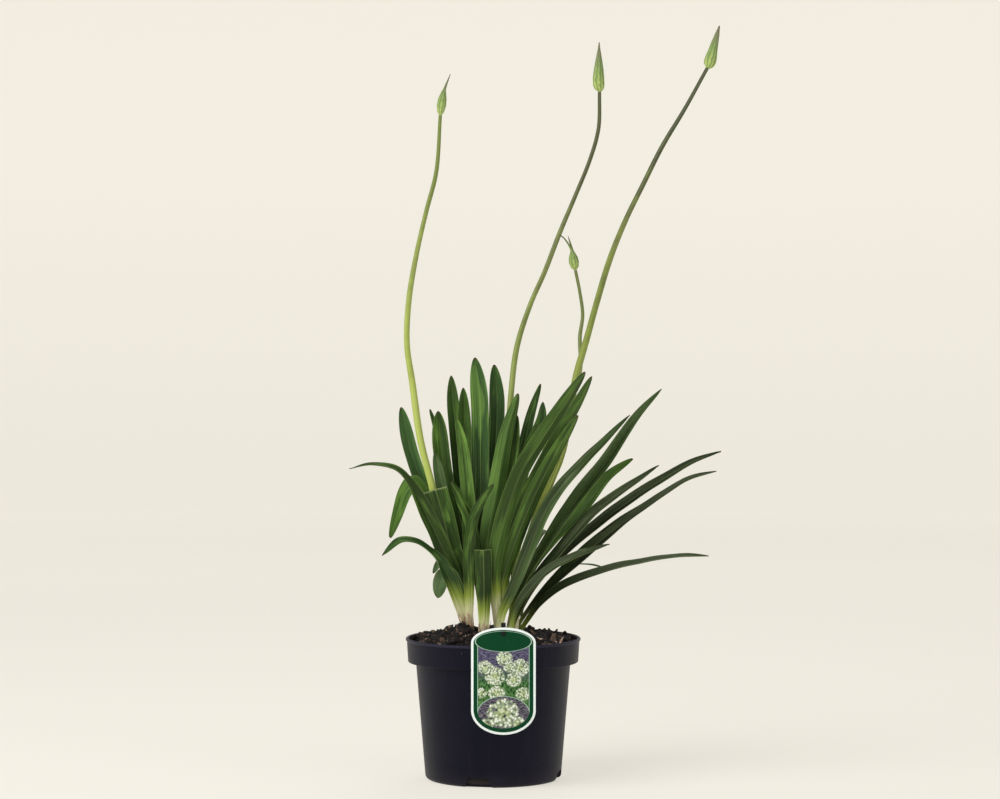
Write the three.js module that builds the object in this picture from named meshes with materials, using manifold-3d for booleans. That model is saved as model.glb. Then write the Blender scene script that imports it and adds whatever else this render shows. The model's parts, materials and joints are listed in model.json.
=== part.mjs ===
// Agapanthus in a three-litre nursery pot: strap leaves in four shoots, four flower stalks with
// closed buds, compost, and a hanging plant label. Millimetres, +Z up, the front towards -Y.
// The origin is the middle of the pot's underside.

import * as THREE from 'three';
import { mergeVertices } from 'three/addons/utils/BufferGeometryUtils.js';
import Module from 'manifold-3d';

const wasm = await Module();
wasm.setup();

// ---------------------------------------------------------------- driving dimensions

const SEAT = 0.3; // clearance between pieces that touch
const FACETS = 48; // sides of the pot and the compost

const POT = {
  height: 153,
  lipRadius: 95,
  lipHeight: 3,
  rimRadius: 93.8,
  rimFootRadius: 92.5,
  rimDepth: 26,
  neckRadius: 84,
  baseRadius: 74,
  footRound: 5,
  wall: 1.8,
  floor: 2.5,
  edge: 0.8, // small rounds along the lip and the rim's foot
  innerFoot: 4, // slope inside between wall and floor
};
const DRAIN = { count: 4, firstAngle: -102.5, wide: 31, narrow: 21.5, high: 10.5, inset: 9 };

const SOIL = { edge: 146, crown: 155.5, crumb: 2, drift: 2.4, rings: 10, clear: 0.5 };
const MOUND = { at: [-33, -21.5], radius: 17, height: 16 }; // compost drawn up against the left shoot
const LUMPS = { count: 28, small: 2.5, large: 5.5, rimClear: 11, raised: 0.15 };
const HOLE_FLOOR = 127.7; // the plain holes that the shoots stand in
const FOOT = HOLE_FLOOR + SEAT; // where leaves and stalks begin
const COLLAR = 158; // they leave the compost upright

const LABEL = {
  x: 11,
  width: 68,
  thick: 0.8,
  low: 60.5,
  high: 173.5,
  topArc: 16,
  lowArc: 26,
  hole: 1.7,
};
const CLIP = {
  width: 5,
  thick: 1.5,
  top: 178.5,
  point: 2, // height of the pointed end
  reach: 5.2, // from the lip's outside to the inner leg
  innerLeg: 12,
  outerLeg: 6,
  pegHeight: 167,
  pegRadius: 1.3,
  headRadius: 2.4,
  headThick: 1.2,
};

const BLADE = { rib: 1.4, ribTip: 0.8, edge: 0.7, channel: 0.28, flatFoot: 0.35, foot: 0.5, tip: 1.8 };
// How a tip narrows: (1 - run ** bow) ** fall, where run goes from 0 at `from` to 1 at the end.
const TIPS = {
  plain: { from: 0.6, bow: 2.4, fall: 0.5 },
  blunt: { from: 0.86, bow: 2, fall: 0.6 },
  long: { from: 0.58, bow: 1.7, fall: 0.62 },
  needle: { from: 0.6, bow: 1.3, fall: 0.9 },
};
const BLADE_PLACES = [0, 0.1, 0.2, 0.3, 0.4, 0.5, 0.6, 0.7, 0.78, 0.86, 0.92, 0.965, 1];
const CUT_PLACES = [0, 0.2, 0.4, 0.6, 0.8, 1];
const STALK_RINGS = 20;
const BUD_RINGS = 14;
const ROD_SIDES = 8;
const SEED = 20261;

// Holes for the shoots: middle [x, y] and size [along X, along Y].
const HOLES = [
  { at: [-28.6, 8.8], size: [21.4, 49] },
  { at: [-10, -9.8], size: [13.2, 29.6] },
  { at: [6, 4.9], size: [12.2, 38.2] },
  { at: [24.2, 6.6], size: [22, 58] },
];
const HOLE_CORNER = 4.5;

// Which way the upper side of a leaf looks where it leaves the compost.
const BACK = [0, 1, 0];
const FRONT = [0, -1, 0];
const LEFT = [-0.92, -0.4, 0];
const LEFT_FRONT = [-0.3, -0.95, 0];

// Strap leaves. `foot` is where the leaf stands in the compost, `looks` are the ways its upper side
// looks from there out to the tip, `tip` is one of TIPS, and `rib` is the course of the midrib.
const LEAVES = [
  // the left shoot
  { name: 'left_leaf_01', width: 12, foot: [-26, -10.2], looks: [BACK, [0.3, 0.9, 0.2]],
    rib: [[-26, -19, 205], [-27, -21, 237], [-26, -22, 262], [-20, -24, 288], [-10, -26, 306],
      [0, -28, 321]] },
  { name: 'left_leaf_02', width: 17, tip: 'long', foot: [-27, -8],
    looks: [FRONT, [0.3, -0.8, 0.5], [0.2, -0.4, 0.9]],
    rib: [[-45, -19, 213], [-57, -26, 235], [-70, -38, 251], [-84, -46, 260], [-99, -54, 261],
      [-118, -64, 247]] },
  { name: 'left_leaf_03', width: 17, tip: 'blunt', foot: [-27, -5.8],
    looks: [FRONT, [0, -0.75, 0.65], [-0.4, -0.9, -0.15]],
    rib: [[-38, -10, 203], [-46, -12, 223], [-53, -13, 221], [-60, -15, 197]] },
  { name: 'left_leaf_04', width: 18, tip: 'needle', foot: [-27, -3.6],
    looks: [FRONT, FRONT, [0.1, -0.75, 0.65], [0.1, -0.5, 0.85]],
    rib: [[-41, -3, 218], [-52, -8, 244], [-66, -14, 275], [-80, -20, 303], [-92, -26, 324],
      [-105, -32, 337], [-130, -42, 343], [-153, -54, 339]] },
  { name: 'left_leaf_05', width: 26, foot: [-27, -1.4], looks: [FRONT], cut: true,
    rib: [[-37, 0, 221], [-47, -1, 254], [-55, -2, 286], [-63, -3, 314]] },
  { name: 'left_leaf_11', width: 15, foot: [-27, 10.6], looks: [FRONT],
    rib: [[-26.4, 10.7, 190], [-27.6, 8, 219], [-27, 3.6, 245], [-26, 2.8, 262], [-27, 2.8, 301],
      [-30, 3.4, 333], [-34, 5, 366], [-40, 7, 391]] },
  { name: 'left_leaf_06', width: 12, foot: [-28, 12.5], looks: [FRONT, [0, -0.5, 0.85], [-0.5, -0.8, 0]],
    rib: [[-42, 15, 214], [-51, 16, 238], [-58, 17, 233], [-66, 18, 221]] },
  { name: 'left_leaf_07', width: 12, tip: 'blunt', foot: [-28, 14.7], looks: [FRONT],
    rib: [[-39, 19, 235], [-51, 21, 290], [-59, 24, 328], [-64, 28, 353]] },
  { name: 'left_leaf_08', width: 19, foot: [-28, 16.9],
    looks: [FRONT, [0, -0.55, 0.84], [-0.5, -0.85, -0.1]],
    rib: [[-42, 23.5, 225], [-59, 26, 274], [-75, 24.4, 308.5], [-86, 24.4, 320.6], [-95, 25.4, 311],
      [-104, 27.4, 286], [-113, 30, 259]] },
  { name: 'left_leaf_09', width: 15, tip: 'blunt', foot: [-28, 19.1], looks: [FRONT],
    rib: [[-47, 31, 241], [-62, 35, 279], [-76, 38, 312], [-91, 45, 355], [-102, 54, 402]] },
  { name: 'left_leaf_10', width: 18, tip: 'blunt', foot: [-27, 21.3], looks: [FRONT],
    rib: [[-35, 33, 235], [-45, 38, 279], [-53, 42, 323], [-58, 46, 361], [-61, 52, 398]] },
  { name: 'left_leaf_12', width: 14, tip: 'blunt', foot: [-26, 25.7], looks: [FRONT],
    rib: [[-32, 49, 267], [-40, 60, 355], [-45, 66, 410], [-47, 73, 437]] },
  { name: 'left_leaf_13', width: 10, foot: [-27, 27.9], looks: [FRONT],
    rib: [[-38, 55, 267], [-51, 69, 332], [-61, 77, 369], [-71, 88, 399]] },
  { name: 'left_leaf_14', width: 16, foot: [-27, 30.1], looks: [FRONT, [0, -0.6, 0.8]],
    rib: [[-31, 47, 215], [-38, 68, 262], [-46, 92, 292], [-53, 118, 306], [-58, 140, 302]] },
  // the front shoot
  { name: 'front_leaf_01', width: 18, foot: [-10, -18], looks: [BACK], cut: true,
    rib: [[-10, -23, 217], [-11, -27, 250]] },
  { name: 'front_leaf_02', width: 14, foot: [-10, -15.8], looks: [BACK, [-0.3, 0.9, 0.2]],
    rib: [[-12, -14, 200], [-17, -11, 238], [-25, -11, 280], [-35, -13, 304], [-45, -15, 323]] },
  { name: 'front_leaf_03', width: 18, foot: [-10, -13.6], looks: [BACK],
    rib: [[-9, -5.5, 200], [-7, -5, 238], [-5, -4, 270], [3, -2, 313], [14, -1, 373], [27, 0, 418]] },
  { name: 'front_leaf_04', width: 14, foot: [-10, -5], looks: [FRONT],
    rib: [[-5, 2, 237], [3, 3, 280], [16, 4, 323], [23, 5, 361], [26, 5, 394]] },
  { name: 'front_leaf_05', width: 19, tip: 'blunt', foot: [-10, -2.8], looks: [FRONT],
    rib: [[-13, 9, 259], [-14, 12, 335], [-15, 15, 411], [-20, 18, 457]] },
  { name: 'front_leaf_06', width: 14, tip: 'blunt', foot: [-10, -0.6], looks: [FRONT],
    rib: [[-19, 15, 258], [-26, 22, 323], [-31, 29, 378], [-33, 34, 424]] },
  { name: 'front_leaf_07', width: 17, tip: 'blunt', foot: [-10, 1.6], looks: [FRONT],
    rib: [[-5, 20, 258], [1, 30, 334], [4, 40, 410], [1, 46, 449]] },
  // the middle shoot
  { name: 'middle_leaf_01', width: 19, foot: [6, -7.4], looks: [BACK, [-0.3, 0.9, 0.2]],
    rib: [[1, -14, 221], [4, -19, 251], [13, -26, 288], [30, -35, 334], [63, -47, 388], [98, -58, 442]] },
  { name: 'middle_leaf_02', width: 17, foot: [6, -5.2], looks: [BACK, [-0.3, 0.9, 0.2]],
    rib: [[8, -8, 206], [21, -13, 250], [35, -18, 287], [53, -24, 327], [72, -30, 363], [91, -37, 395]] },
  { name: 'middle_leaf_03', width: 16, foot: [6, -3], looks: [BACK, [-0.3, 0.9, 0.2]],
    rib: [[12, -3, 215], [22, -6, 268], [43, -11, 319], [67, -18, 365], [88, -24, 402], [106, -30, 437]] },
  { name: 'middle_leaf_04', width: 12, foot: [6, 14.2], looks: [FRONT],
    rib: [[8, 16, 219], [17, 17, 290], [27, 18, 334], [38, 19, 361], [48, 20, 384]] },
  { name: 'middle_leaf_05', width: 13, foot: [6, 16.4], looks: [FRONT],
    rib: [[10, 20, 219], [18, 24, 290], [31, 29, 350], [41, 34, 394], [52, 38, 428]] },
  { name: 'middle_leaf_06', width: 13, tip: 'blunt', foot: [6, 18.6], looks: [FRONT],
    rib: [[11, 26, 219], [23, 38, 290], [40, 48, 355], [53, 55, 388], [55, 60, 408]] },
  { name: 'middle_leaf_07', width: 16, foot: [6, 20.8], looks: [FRONT, FRONT, [0, -0.5, 0.85]],
    rib: [[8, 34, 219], [12, 54, 280], [16, 78, 328], [20, 105, 356]] },
  // the right shoot
  { name: 'right_leaf_01', width: 17, tip: 'long', foot: [7, -10.6],
    looks: [LEFT_FRONT, [-0.5, -0.65, 0.55]],
    rib: [[9, -13, 178], [14, -15.5, 191], [25, -18, 216], [34, -19, 238], [56, -19, 290], [74, -18, 317],
      [100, -14, 345], [125, -8, 371], [148, -4, 395]] },
  { name: 'right_leaf_02', width: 19, tip: 'long', foot: [16, -7], looks: [LEFT, [-0.5, -0.75, 0.5]],
    rib: [[23, -10.4, 190], [36, -13, 220], [63, -10, 263], [90, -5, 302], [123, 0, 344], [153, 4, 388],
      [183, 6, 423]] },
  { name: 'right_leaf_04', width: 17, tip: 'long', foot: [19.2, -8.2], looks: [LEFT, [-0.5, -0.6, 0.65]],
    rib: [[31, -14, 190], [46, -15, 217], [72, -12, 247], [108, -8, 288], [144, -10, 315],
      [179, -16, 341]] },
  { name: 'right_leaf_07', width: 16, tip: 'long', foot: [20.4, -16], looks: [LEFT, [-0.45, -0.45, 0.75]],
    rib: [[23, -20.6, 178], [31, -26, 196], [43, -28, 211], [60, -28, 228], [82, -30, 240], [106, -32, 250],
      [125, -34, 257]] },
  { name: 'right_leaf_03', width: 18, foot: [17.6, 11], looks: [LEFT, [-0.5, -0.7, 0.5]],
    rib: [[40, 17, 219], [66, 24, 257], [95, 30, 285], [126, 40, 325], [154, 48, 345]] },
  { name: 'right_leaf_05', width: 16, tip: 'long', foot: [21, 11], looks: [LEFT, [-0.45, -0.6, 0.65]],
    rib: [[34.8, 12, 189.7], [50, 12, 213.8], [77, 12, 243], [124, 12, 283], [178, 10, 320], [218, 8, 344],
      [248, 6, 355]] },
  { name: 'right_leaf_06', width: 18, tip: 'long', foot: [25, 11],
    looks: [LEFT, [-0.45, -0.7, 0.55], [-0.45, -0.35, 0.8]],
    rib: [[45, 17, 189], [83, 23, 227], [134, 30, 269], [186, 38, 305], [214, 42, 322], [246, 46, 332]] },
  { name: 'right_leaf_08', width: 15, tip: 'long', foot: [30.2, 5], looks: [LEFT, [-0.3, -0.3, 0.9]],
    rib: [[41, 1, 177], [54, -1, 193], [77, -3, 210], [109, -4, 222], [157, -12, 235], [196, -20, 242],
      [232, -28, 244]] },
  { name: 'right_leaf_09', width: 6, tip: 'needle', foot: [29, 27], looks: [LEFT, [0, 0, 1]],
    rib: [[38, 28, 200], [59, 34, 227], [86, 40, 230], [107, 44, 229], [127, 48, 224]] },
  { name: 'right_leaf_10', width: 15, foot: [22, 31], looks: [FRONT, [-0.2, -0.5, 0.85]],
    rib: [[30, 50, 210], [43, 76, 247], [58, 104, 262], [70, 130, 254]] },
];

// Papery remains of old leaves at the foot of the left and the front shoot.
const SHEATHS = [
  { name: 'dry_sheath_front', width: 15, foot: [-28, -12.6], looks: [BACK], cut: true,
    rib: [[-28.5, -16.5, 172], [-31, -23, 184]] },
  { name: 'dry_sheath_side', width: 13, foot: [-10, -20.6], looks: [BACK], cut: true,
    rib: [[-9.6, -23, 167], [-7, -27, 175]] },
];

// Flower stalks: the course of the middle line and the radius at foot and top.
const STALKS = [
  { name: 'stalk_left', foot: [-27, 4.5], radii: [4.2, 3.9, 1.9],
    path: [[-45, 6.6, 236], [-58, 7, 280], [-66, 8, 315], [-79, 9, 366], [-88, 10, 429], [-94, 12, 472],
      [-92, 14, 519], [-84, 15, 568], [-73, 14, 616], [-62, 12, 659], [-57.5, 10, 720.5]] },
  { name: 'stalk_middle', foot: [6, 7.5], radii: [3.6, 3.3, 1.9],
    path: [[7, 9, 235], [11, 11, 301], [15, 15, 356], [19, 20, 412], [26, 25, 469], [41, 28, 516],
      [56, 30, 550], [73, 30, 594], [89, 28, 632], [106, 25, 674], [115, 22, 707], [116, 20, 747]] },
  { name: 'stalk_right', foot: [23, 0.5], radii: [4.2, 4, 1.9],
    path: [[28, -1, 205], [36, -3, 248], [45, -5, 279], [54, -7, 302], [63, -7, 324], [75, -7, 355],
      [90, -8, 437], [101, -15, 477], [113, -20, 521], [126, -26, 564], [142, -31, 604], [161, -35, 643],
      [181, -38, 683], [205, -40, 723], [228.7, -42, 766]] },
  { name: 'stalk_short', foot: [20, 24], radii: [3.4, 3.3, 1.7],
    path: [[24, 26, 230], [40, 26, 300], [62, 25, 370], [94, 24, 437], [95, 26, 481], [98, 28, 503],
      [95, 29, 528], [90, 29, 553]] },
];

// Closed buds: the path on from the stalk's top, and [place along it, radius] pairs.
const BUDS = [
  { name: 'bud_left', stalk: 'stalk_left', path: [[-56, 10, 733], [-53, 9, 748], [-46.5, 8, 765]],
    radii: [[0, 1.9], [0.08, 3.8], [0.22, 5.1], [0.38, 4.6], [0.52, 3], [0.62, 1.5], [1, 0.6]] },
  { name: 'bud_middle', stalk: 'stalk_middle', path: [[115, 20, 757], [115.2, 20, 776], [115.6, 20, 801]],
    radii: [[0, 2.3], [0.06, 5.2], [0.14, 6.4], [0.28, 6.2], [0.45, 5.2], [0.6, 4], [0.75, 2.6], [0.88, 1.3],
      [1, 0.6]] },
  { name: 'bud_right', stalk: 'stalk_right', path: [[231.6, -42, 773], [236, -43, 790], [241.5, -44, 811]],
    radii: [[0, 2.2], [0.07, 5.6], [0.15, 6.6], [0.26, 6.2], [0.4, 5], [0.6, 3.9], [0.8, 2.5], [0.93, 1.3],
      [1, 0.7]] },
  { name: 'bud_short', stalk: 'stalk_short', path: [[88, 29, 564], [86, 29, 576], [82, 28, 590]],
    radii: [[0, 1.9], [0.08, 4.4], [0.22, 5.6], [0.36, 4.9], [0.47, 3.2], [0.57, 1.7], [1, 0.6]],
    beak: { path: [[86.5, 29, 571], [84.5, 27, 577], [81.3, 25, 582.5], [77, 24, 588], [72.9, 24, 591]],
      radius: 0.9 } },
];

const FINISH = {
  pot: { color: 0x1c1c22, roughness: 0.45, metalness: 0 },
  soil: { color: 0x2a1c17, roughness: 0.95, metalness: 0 },
  leaf: { color: 0x3f6b2c, roughness: 0.5, metalness: 0 },
  stalk: { color: 0x9db54a, roughness: 0.5, metalness: 0 },
  bud: { color: 0x8a9a3f, roughness: 0.55, metalness: 0 },
  sheath: { color: 0xa9835c, roughness: 0.85, metalness: 0 },
  label: { color: 0x0b4a2c, roughness: 0.35, metalness: 0 },
  clip: { color: 0x15151a, roughness: 0.5, metalness: 0 },
};

// ---------------------------------------------------------------- small helpers

/** Repeatable random numbers from 0 to 1 (mulberry32). */
function randomSource(seed) {
  let state = seed;
  return () => {
    state = (state + 0x6d2b79f5) | 0;
    let mixed = Math.imul(state ^ (state >>> 15), 1 | state);
    mixed = (mixed + Math.imul(mixed ^ (mixed >>> 7), 61 | mixed)) ^ mixed;
    return ((mixed ^ (mixed >>> 14)) >>> 0) / 4294967296;
  };
}

/** A closed mesh as a manifold-3d solid. */
function toSolid(geometry) {
  const bare = geometry.clone();
  bare.deleteAttribute('normal');
  bare.deleteAttribute('uv');
  const merged = mergeVertices(bare, 1e-4);
  return new wasm.Manifold(new wasm.Mesh({
    numProp: 3,
    vertProperties: new Float32Array(merged.attributes.position.array),
    triVerts: new Uint32Array(merged.index.array),
  }));
}

/** A manifold-3d solid as a three.js geometry. */
function toGeometry(solid) {
  const mesh = solid.getMesh();
  return indexedGeometry(mesh.vertProperties, mesh.triVerts);
}

function indexedGeometry(positions, indices) {
  const geometry = new THREE.BufferGeometry();
  geometry.setAttribute('position', new THREE.BufferAttribute(Float32Array.from(positions), 3));
  geometry.setIndex(Array.from(indices));
  geometry.computeVertexNormals();
  return geometry;
}

function vector(triple) {
  return new THREE.Vector3(triple[0], triple[1], triple[2]);
}

/** Reads a value off [place, value] pairs by straight lines between them. */
function readPairs(pairs, place) {
  const after = pairs.findIndex((pair) => pair[0] >= place);
  if (after <= 0) {
    return pairs[0][1];
  }
  const [x0, y0] = pairs[after - 1];
  const [x1, y1] = pairs[after];
  return THREE.MathUtils.lerp(y0, y1, (place - x0) / (x1 - x0));
}

/** A lathe about +Z from [radius, height] pairs. */
function turned(profile, facets) {
  const geometry = new THREE.LatheGeometry(profile.map(([r, z]) => new THREE.Vector2(r, z)), facets);
  return geometry.rotateX(Math.PI / 2);
}

// ---------------------------------------------------------------- the pot

/** The drainage slots: wedges through the foot edge, wide at the bottom. */
function drainSlots() {
  const outline = new THREE.Shape([
    new THREE.Vector2(-DRAIN.wide / 2, -1),
    new THREE.Vector2(DRAIN.wide / 2, -1),
    new THREE.Vector2(DRAIN.narrow / 2, DRAIN.high),
    new THREE.Vector2(-DRAIN.narrow / 2, DRAIN.high),
  ]);
  const slots = [];
  for (let i = 0; i < DRAIN.count; i += 1) {
    const slot = new THREE.ExtrudeGeometry(outline, { depth: 2 * DRAIN.inset, bevelEnabled: false });
    slot.rotateX(Math.PI / 2);
    slot.translate(0, -(POT.baseRadius - DRAIN.inset), 0);
    slot.rotateZ(THREE.MathUtils.degToRad(DRAIN.firstAngle + 90 + (360 / DRAIN.count) * i));
    slots.push(toSolid(slot));
  }
  return slots;
}

function potGeometry() {
  const { height, lipRadius, lipHeight, rimRadius, rimFootRadius, rimDepth } = POT;
  const { neckRadius, baseRadius, footRound, wall, floor, edge, innerFoot } = POT;
  const rimFoot = height - rimDepth;
  const foot = [];
  for (let i = 0; i <= 3; i += 1) {
    const angle = (i / 3) * (Math.PI / 2);
    foot.push([baseRadius - footRound + footRound * Math.sin(angle), footRound * (1 - Math.cos(angle))]);
  }
  const shell = toSolid(turned([
    [0, 0],
    ...foot,
    [neckRadius, rimFoot],
    [rimFootRadius - edge, rimFoot],
    [rimFootRadius, rimFoot + edge],
    [rimRadius, height - lipHeight],
    [lipRadius, height - lipHeight + edge],
    [lipRadius, height - edge],
    [lipRadius - edge, height],
    [rimRadius - wall + edge / 2, height],
    [rimFootRadius - wall, rimFoot + wall],
    [neckRadius - wall, rimFoot + wall],
    [baseRadius - wall, floor + innerFoot],
    [baseRadius - wall - innerFoot, floor],
    [0, floor],
  ], FACETS));
  return toGeometry(drainSlots().reduce((body, slot) => body.subtract(slot), shell));
}

// ---------------------------------------------------------------- the compost

/** Height of the heaped surface at a place that lies a share (0 to 1) of the way out to the rim. */
function heapHeight(x, y, share) {
  const away = Math.hypot(x - MOUND.at[0], y - MOUND.at[1]) / MOUND.radius;
  const mound = MOUND.height * THREE.MathUtils.smoothstep(1 - away, 0, 1);
  return SOIL.edge + (SOIL.crown - SOIL.edge) * (1 - share ** 4) + mound;
}

/** The compost as a solid of rings: the crumbly surface, then down the wall to the floor. */
function soilBody(random) {
  const inner = POT.wall + SOIL.clear;
  const surfaceRadius = THREE.MathUtils.lerp(POT.rimFootRadius, POT.rimRadius, 0.7) - inner;
  const rimFoot = POT.height - POT.rimDepth;
  const rings = [];
  for (let ring = 1; ring <= SOIL.rings; ring += 1) {
    const share = ring / SOIL.rings;
    rings.push({ radius: surfaceRadius * share, share, crumb: ring < SOIL.rings });
  }
  rings.push({ radius: POT.rimFootRadius - inner, height: rimFoot + POT.wall + SEAT });
  rings.push({ radius: POT.neckRadius - inner, height: rimFoot + POT.wall + SEAT });
  rings.push({ radius: POT.baseRadius - inner, height: POT.floor + POT.innerFoot + SOIL.clear });
  rings.push({ radius: POT.baseRadius - inner - POT.innerFoot, height: POT.floor + SEAT });

  const positions = [0, 0, SOIL.crown];
  for (const { radius, share, height, crumb } of rings) {
    for (let side = 0; side < FACETS; side += 1) {
      const angle = (side / FACETS) * 2 * Math.PI;
      const reach = radius + (crumb ? (random() - 0.5) * SOIL.drift : 0);
      const [x, y] = [reach * Math.cos(angle), reach * Math.sin(angle)];
      const lift = crumb ? (random() - 0.45) * 2 * SOIL.crumb : 0;
      positions.push(x, y, (height ?? heapHeight(x, y, share)) + lift);
    }
  }
  const bottom = positions.length / 3;
  positions.push(0, 0, POT.floor + SEAT);

  const indices = [];
  for (let side = 0; side < FACETS; side += 1) {
    const next = (side + 1) % FACETS;
    indices.push(0, 1 + side, 1 + next);
    for (let ring = 0; ring < rings.length - 1; ring += 1) {
      const near = 1 + ring * FACETS;
      const far = near + FACETS;
      indices.push(near + side, far + side, far + next);
      indices.push(near + side, far + next, near + next);
    }
    const last = 1 + (rings.length - 1) * FACETS;
    indices.push(last + side, bottom, last + next);
  }
  return toSolid(indexedGeometry(positions, indices));
}

/** Crumbs and bark chips: small broken lumps half sunk in the surface. */
function soilLumps(random) {
  const lumps = [];
  const reach = POT.rimRadius - POT.wall - LUMPS.rimClear;
  for (let i = 0; i < LUMPS.count; i += 1) {
    const size = THREE.MathUtils.lerp(LUMPS.small, LUMPS.large, random());
    const lump = new THREE.IcosahedronGeometry(size, 0);
    lump.scale(1, 0.6 + 0.5 * random(), 0.5 + 0.5 * random());
    lump.rotateX(random() * 0.8);
    lump.rotateZ(random() * Math.PI);
    const radius = reach * Math.sqrt(random());
    const angle = random() * 2 * Math.PI;
    const [x, y] = [radius * Math.cos(angle), radius * Math.sin(angle)];
    const height = heapHeight(x, y, radius / (reach + LUMPS.rimClear)) + LUMPS.raised * size;
    lump.translate(x, y, height);
    lumps.push(toSolid(lump));
  }
  return lumps;
}

/** An upright block with rounded corners, from `low` to `high`. */
function roundedBlock(at, size, corner, low, high) {
  const [halfX, halfY] = [size[0] / 2 - corner, size[1] / 2 - corner];
  const outline = new THREE.Shape();
  outline.absarc(halfX, halfY, corner, 0, Math.PI / 2);
  outline.absarc(-halfX, halfY, corner, Math.PI / 2, Math.PI);
  outline.absarc(-halfX, -halfY, corner, Math.PI, 1.5 * Math.PI);
  outline.absarc(halfX, -halfY, corner, 1.5 * Math.PI, 2 * Math.PI);
  const options = { depth: high - low, bevelEnabled: false, curveSegments: 3 };
  const block = new THREE.ExtrudeGeometry(outline, options);
  return toSolid(block.translate(at[0], at[1], low));
}

function soilGeometry() {
  const random = randomSource(SEED);
  let soil = soilBody(random);
  for (const lump of soilLumps(random)) {
    soil = soil.add(lump);
  }
  for (const hole of HOLES) {
    soil = soil.subtract(roundedBlock(hole.at, hole.size, HOLE_CORNER, HOLE_FLOOR, 190));
  }
  const clipSlot = new THREE.BoxGeometry(CLIP.width + 1.2, 6, 30);
  clipSlot.translate(LABEL.x, CLIP.reach - POT.lipRadius, POT.height);
  return toGeometry(soil.subtract(toSolid(clipSlot)));
}

// ---------------------------------------------------------------- leaves

/** Width of a blade as a share of its greatest, from foot (0) to end (1). */
function bladeShare(place, cut, tip) {
  const spread = THREE.MathUtils.smoothstep(place, 0.08, cut ? 0.9 : 0.5);
  const grown = THREE.MathUtils.lerp(BLADE.foot, 1, spread);
  const { from, bow, fall } = TIPS[tip];
  if (cut || place < from) {
    return grown;
  }
  const run = (place - from) / (1 - from);
  return grown * Math.max(0, 1 - run ** bow) ** fall;
}

/** The way the upper side looks at a place along the blade, turning gently from one to the next. */
function lookAt(looks, place) {
  const turns = looks.length - 1;
  const run = THREE.MathUtils.clamp((place - 0.15) / 0.6, 0, 1) * turns;
  const before = Math.min(Math.floor(run), Math.max(turns - 1, 0));
  const after = Math.min(before + 1, turns);
  const blend = THREE.MathUtils.smoothstep(run - before, 0, 1);
  return vector(looks[before]).lerp(vector(looks[after]), blend);
}

/**
 * A strap leaf: a shallow V channel swept along its midrib. Upper and lower faces are split into
 * triangles the same way, so the thin blade never crosses itself.
 */
function leafGeometry({ width, foot, looks, rib, tip = 'plain', cut = false }) {
  const curve = new THREE.CatmullRomCurve3([
    new THREE.Vector3(foot[0], foot[1], FOOT),
    new THREE.Vector3(foot[0], foot[1], COLLAR),
    ...rib.map(vector),
  ], false, 'centripetal');
  const places = cut ? CUT_PLACES : BLADE_PLACES;
  const positions = [];
  for (const place of places) {
    const middle = curve.getPointAt(place);
    const along = curve.getTangentAt(place);
    const across = along.clone().cross(lookAt(looks, place)).normalize();
    const up = across.clone().cross(along);
    const half = Math.max((width / 2) * bladeShare(place, cut, tip), BLADE.tip / 2);
    const opening = THREE.MathUtils.smoothstep(place, 0.1, 0.5);
    const rise = half * BLADE.channel * THREE.MathUtils.lerp(BLADE.flatFoot, 1, opening);
    const under = rise - BLADE.edge;
    const thick = THREE.MathUtils.lerp(BLADE.rib, BLADE.ribTip, place);
    const upper = [[-half, rise], [0, 0], [half, rise]];
    const lower = [[-half, under], [0, -thick], [half, under]];
    for (const [sideways, lift] of [...upper, ...lower]) {
      const point = middle.clone().addScaledVector(across, sideways).addScaledVector(up, lift);
      positions.push(point.x, point.y, point.z);
    }
  }
  const indices = [];
  const quad = (a, b, c, d) => indices.push(a, b, c, a, c, d);
  for (let ring = 0; ring < places.length - 1; ring += 1) {
    const near = ring * 6;
    const far = near + 6;
    for (const column of [0, 1]) {
      quad(near + column, near + column + 1, far + column + 1, far + column);
      indices.push(near + column + 3, far + column + 4, near + column + 4);
      indices.push(near + column + 3, far + column + 3, far + column + 4);
    }
    quad(near, far, far + 3, near + 3);
    quad(near + 2, near + 5, far + 5, far + 2);
  }
  const end = (places.length - 1) * 6;
  for (const column of [0, 1]) {
    quad(column, column + 3, column + 4, column + 1);
    quad(end + column, end + column + 1, end + column + 4, end + column + 3);
  }
  return indexedGeometry(positions, indices);
}

// ---------------------------------------------------------------- stalks and buds

/** A round rod of changing radius swept along a curve, closed at both ends. */
function rodGeometry(curve, radiusAt, steps, sides) {
  const frames = curve.computeFrenetFrames(steps, false);
  const positions = [];
  for (let step = 0; step <= steps; step += 1) {
    const middle = curve.getPointAt(step / steps);
    for (let side = 0; side < sides; side += 1) {
      const angle = (side / sides) * 2 * Math.PI;
      const point = middle.clone()
        .addScaledVector(frames.normals[step], radiusAt(step / steps) * Math.cos(angle))
        .addScaledVector(frames.binormals[step], radiusAt(step / steps) * Math.sin(angle));
      positions.push(point.x, point.y, point.z);
    }
  }
  const indices = [];
  for (let step = 0; step < steps; step += 1) {
    for (let side = 0; side < sides; side += 1) {
      const next = (side + 1) % sides;
      const [near, far] = [step * sides, (step + 1) * sides];
      indices.push(near + side, near + next, far + next, near + side, far + next, far + side);
    }
  }
  const last = steps * sides;
  for (let side = 1; side < sides - 1; side += 1) {
    indices.push(0, side + 1, side);
    indices.push(last, last + side, last + side + 1);
  }
  return indexedGeometry(positions, indices);
}

function stalkCurve({ foot, path }) {
  return new THREE.CatmullRomCurve3([
    new THREE.Vector3(foot[0], foot[1], FOOT),
    new THREE.Vector3(foot[0], foot[1], COLLAR),
    ...path.map(vector),
  ], false, 'centripetal');
}

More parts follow.
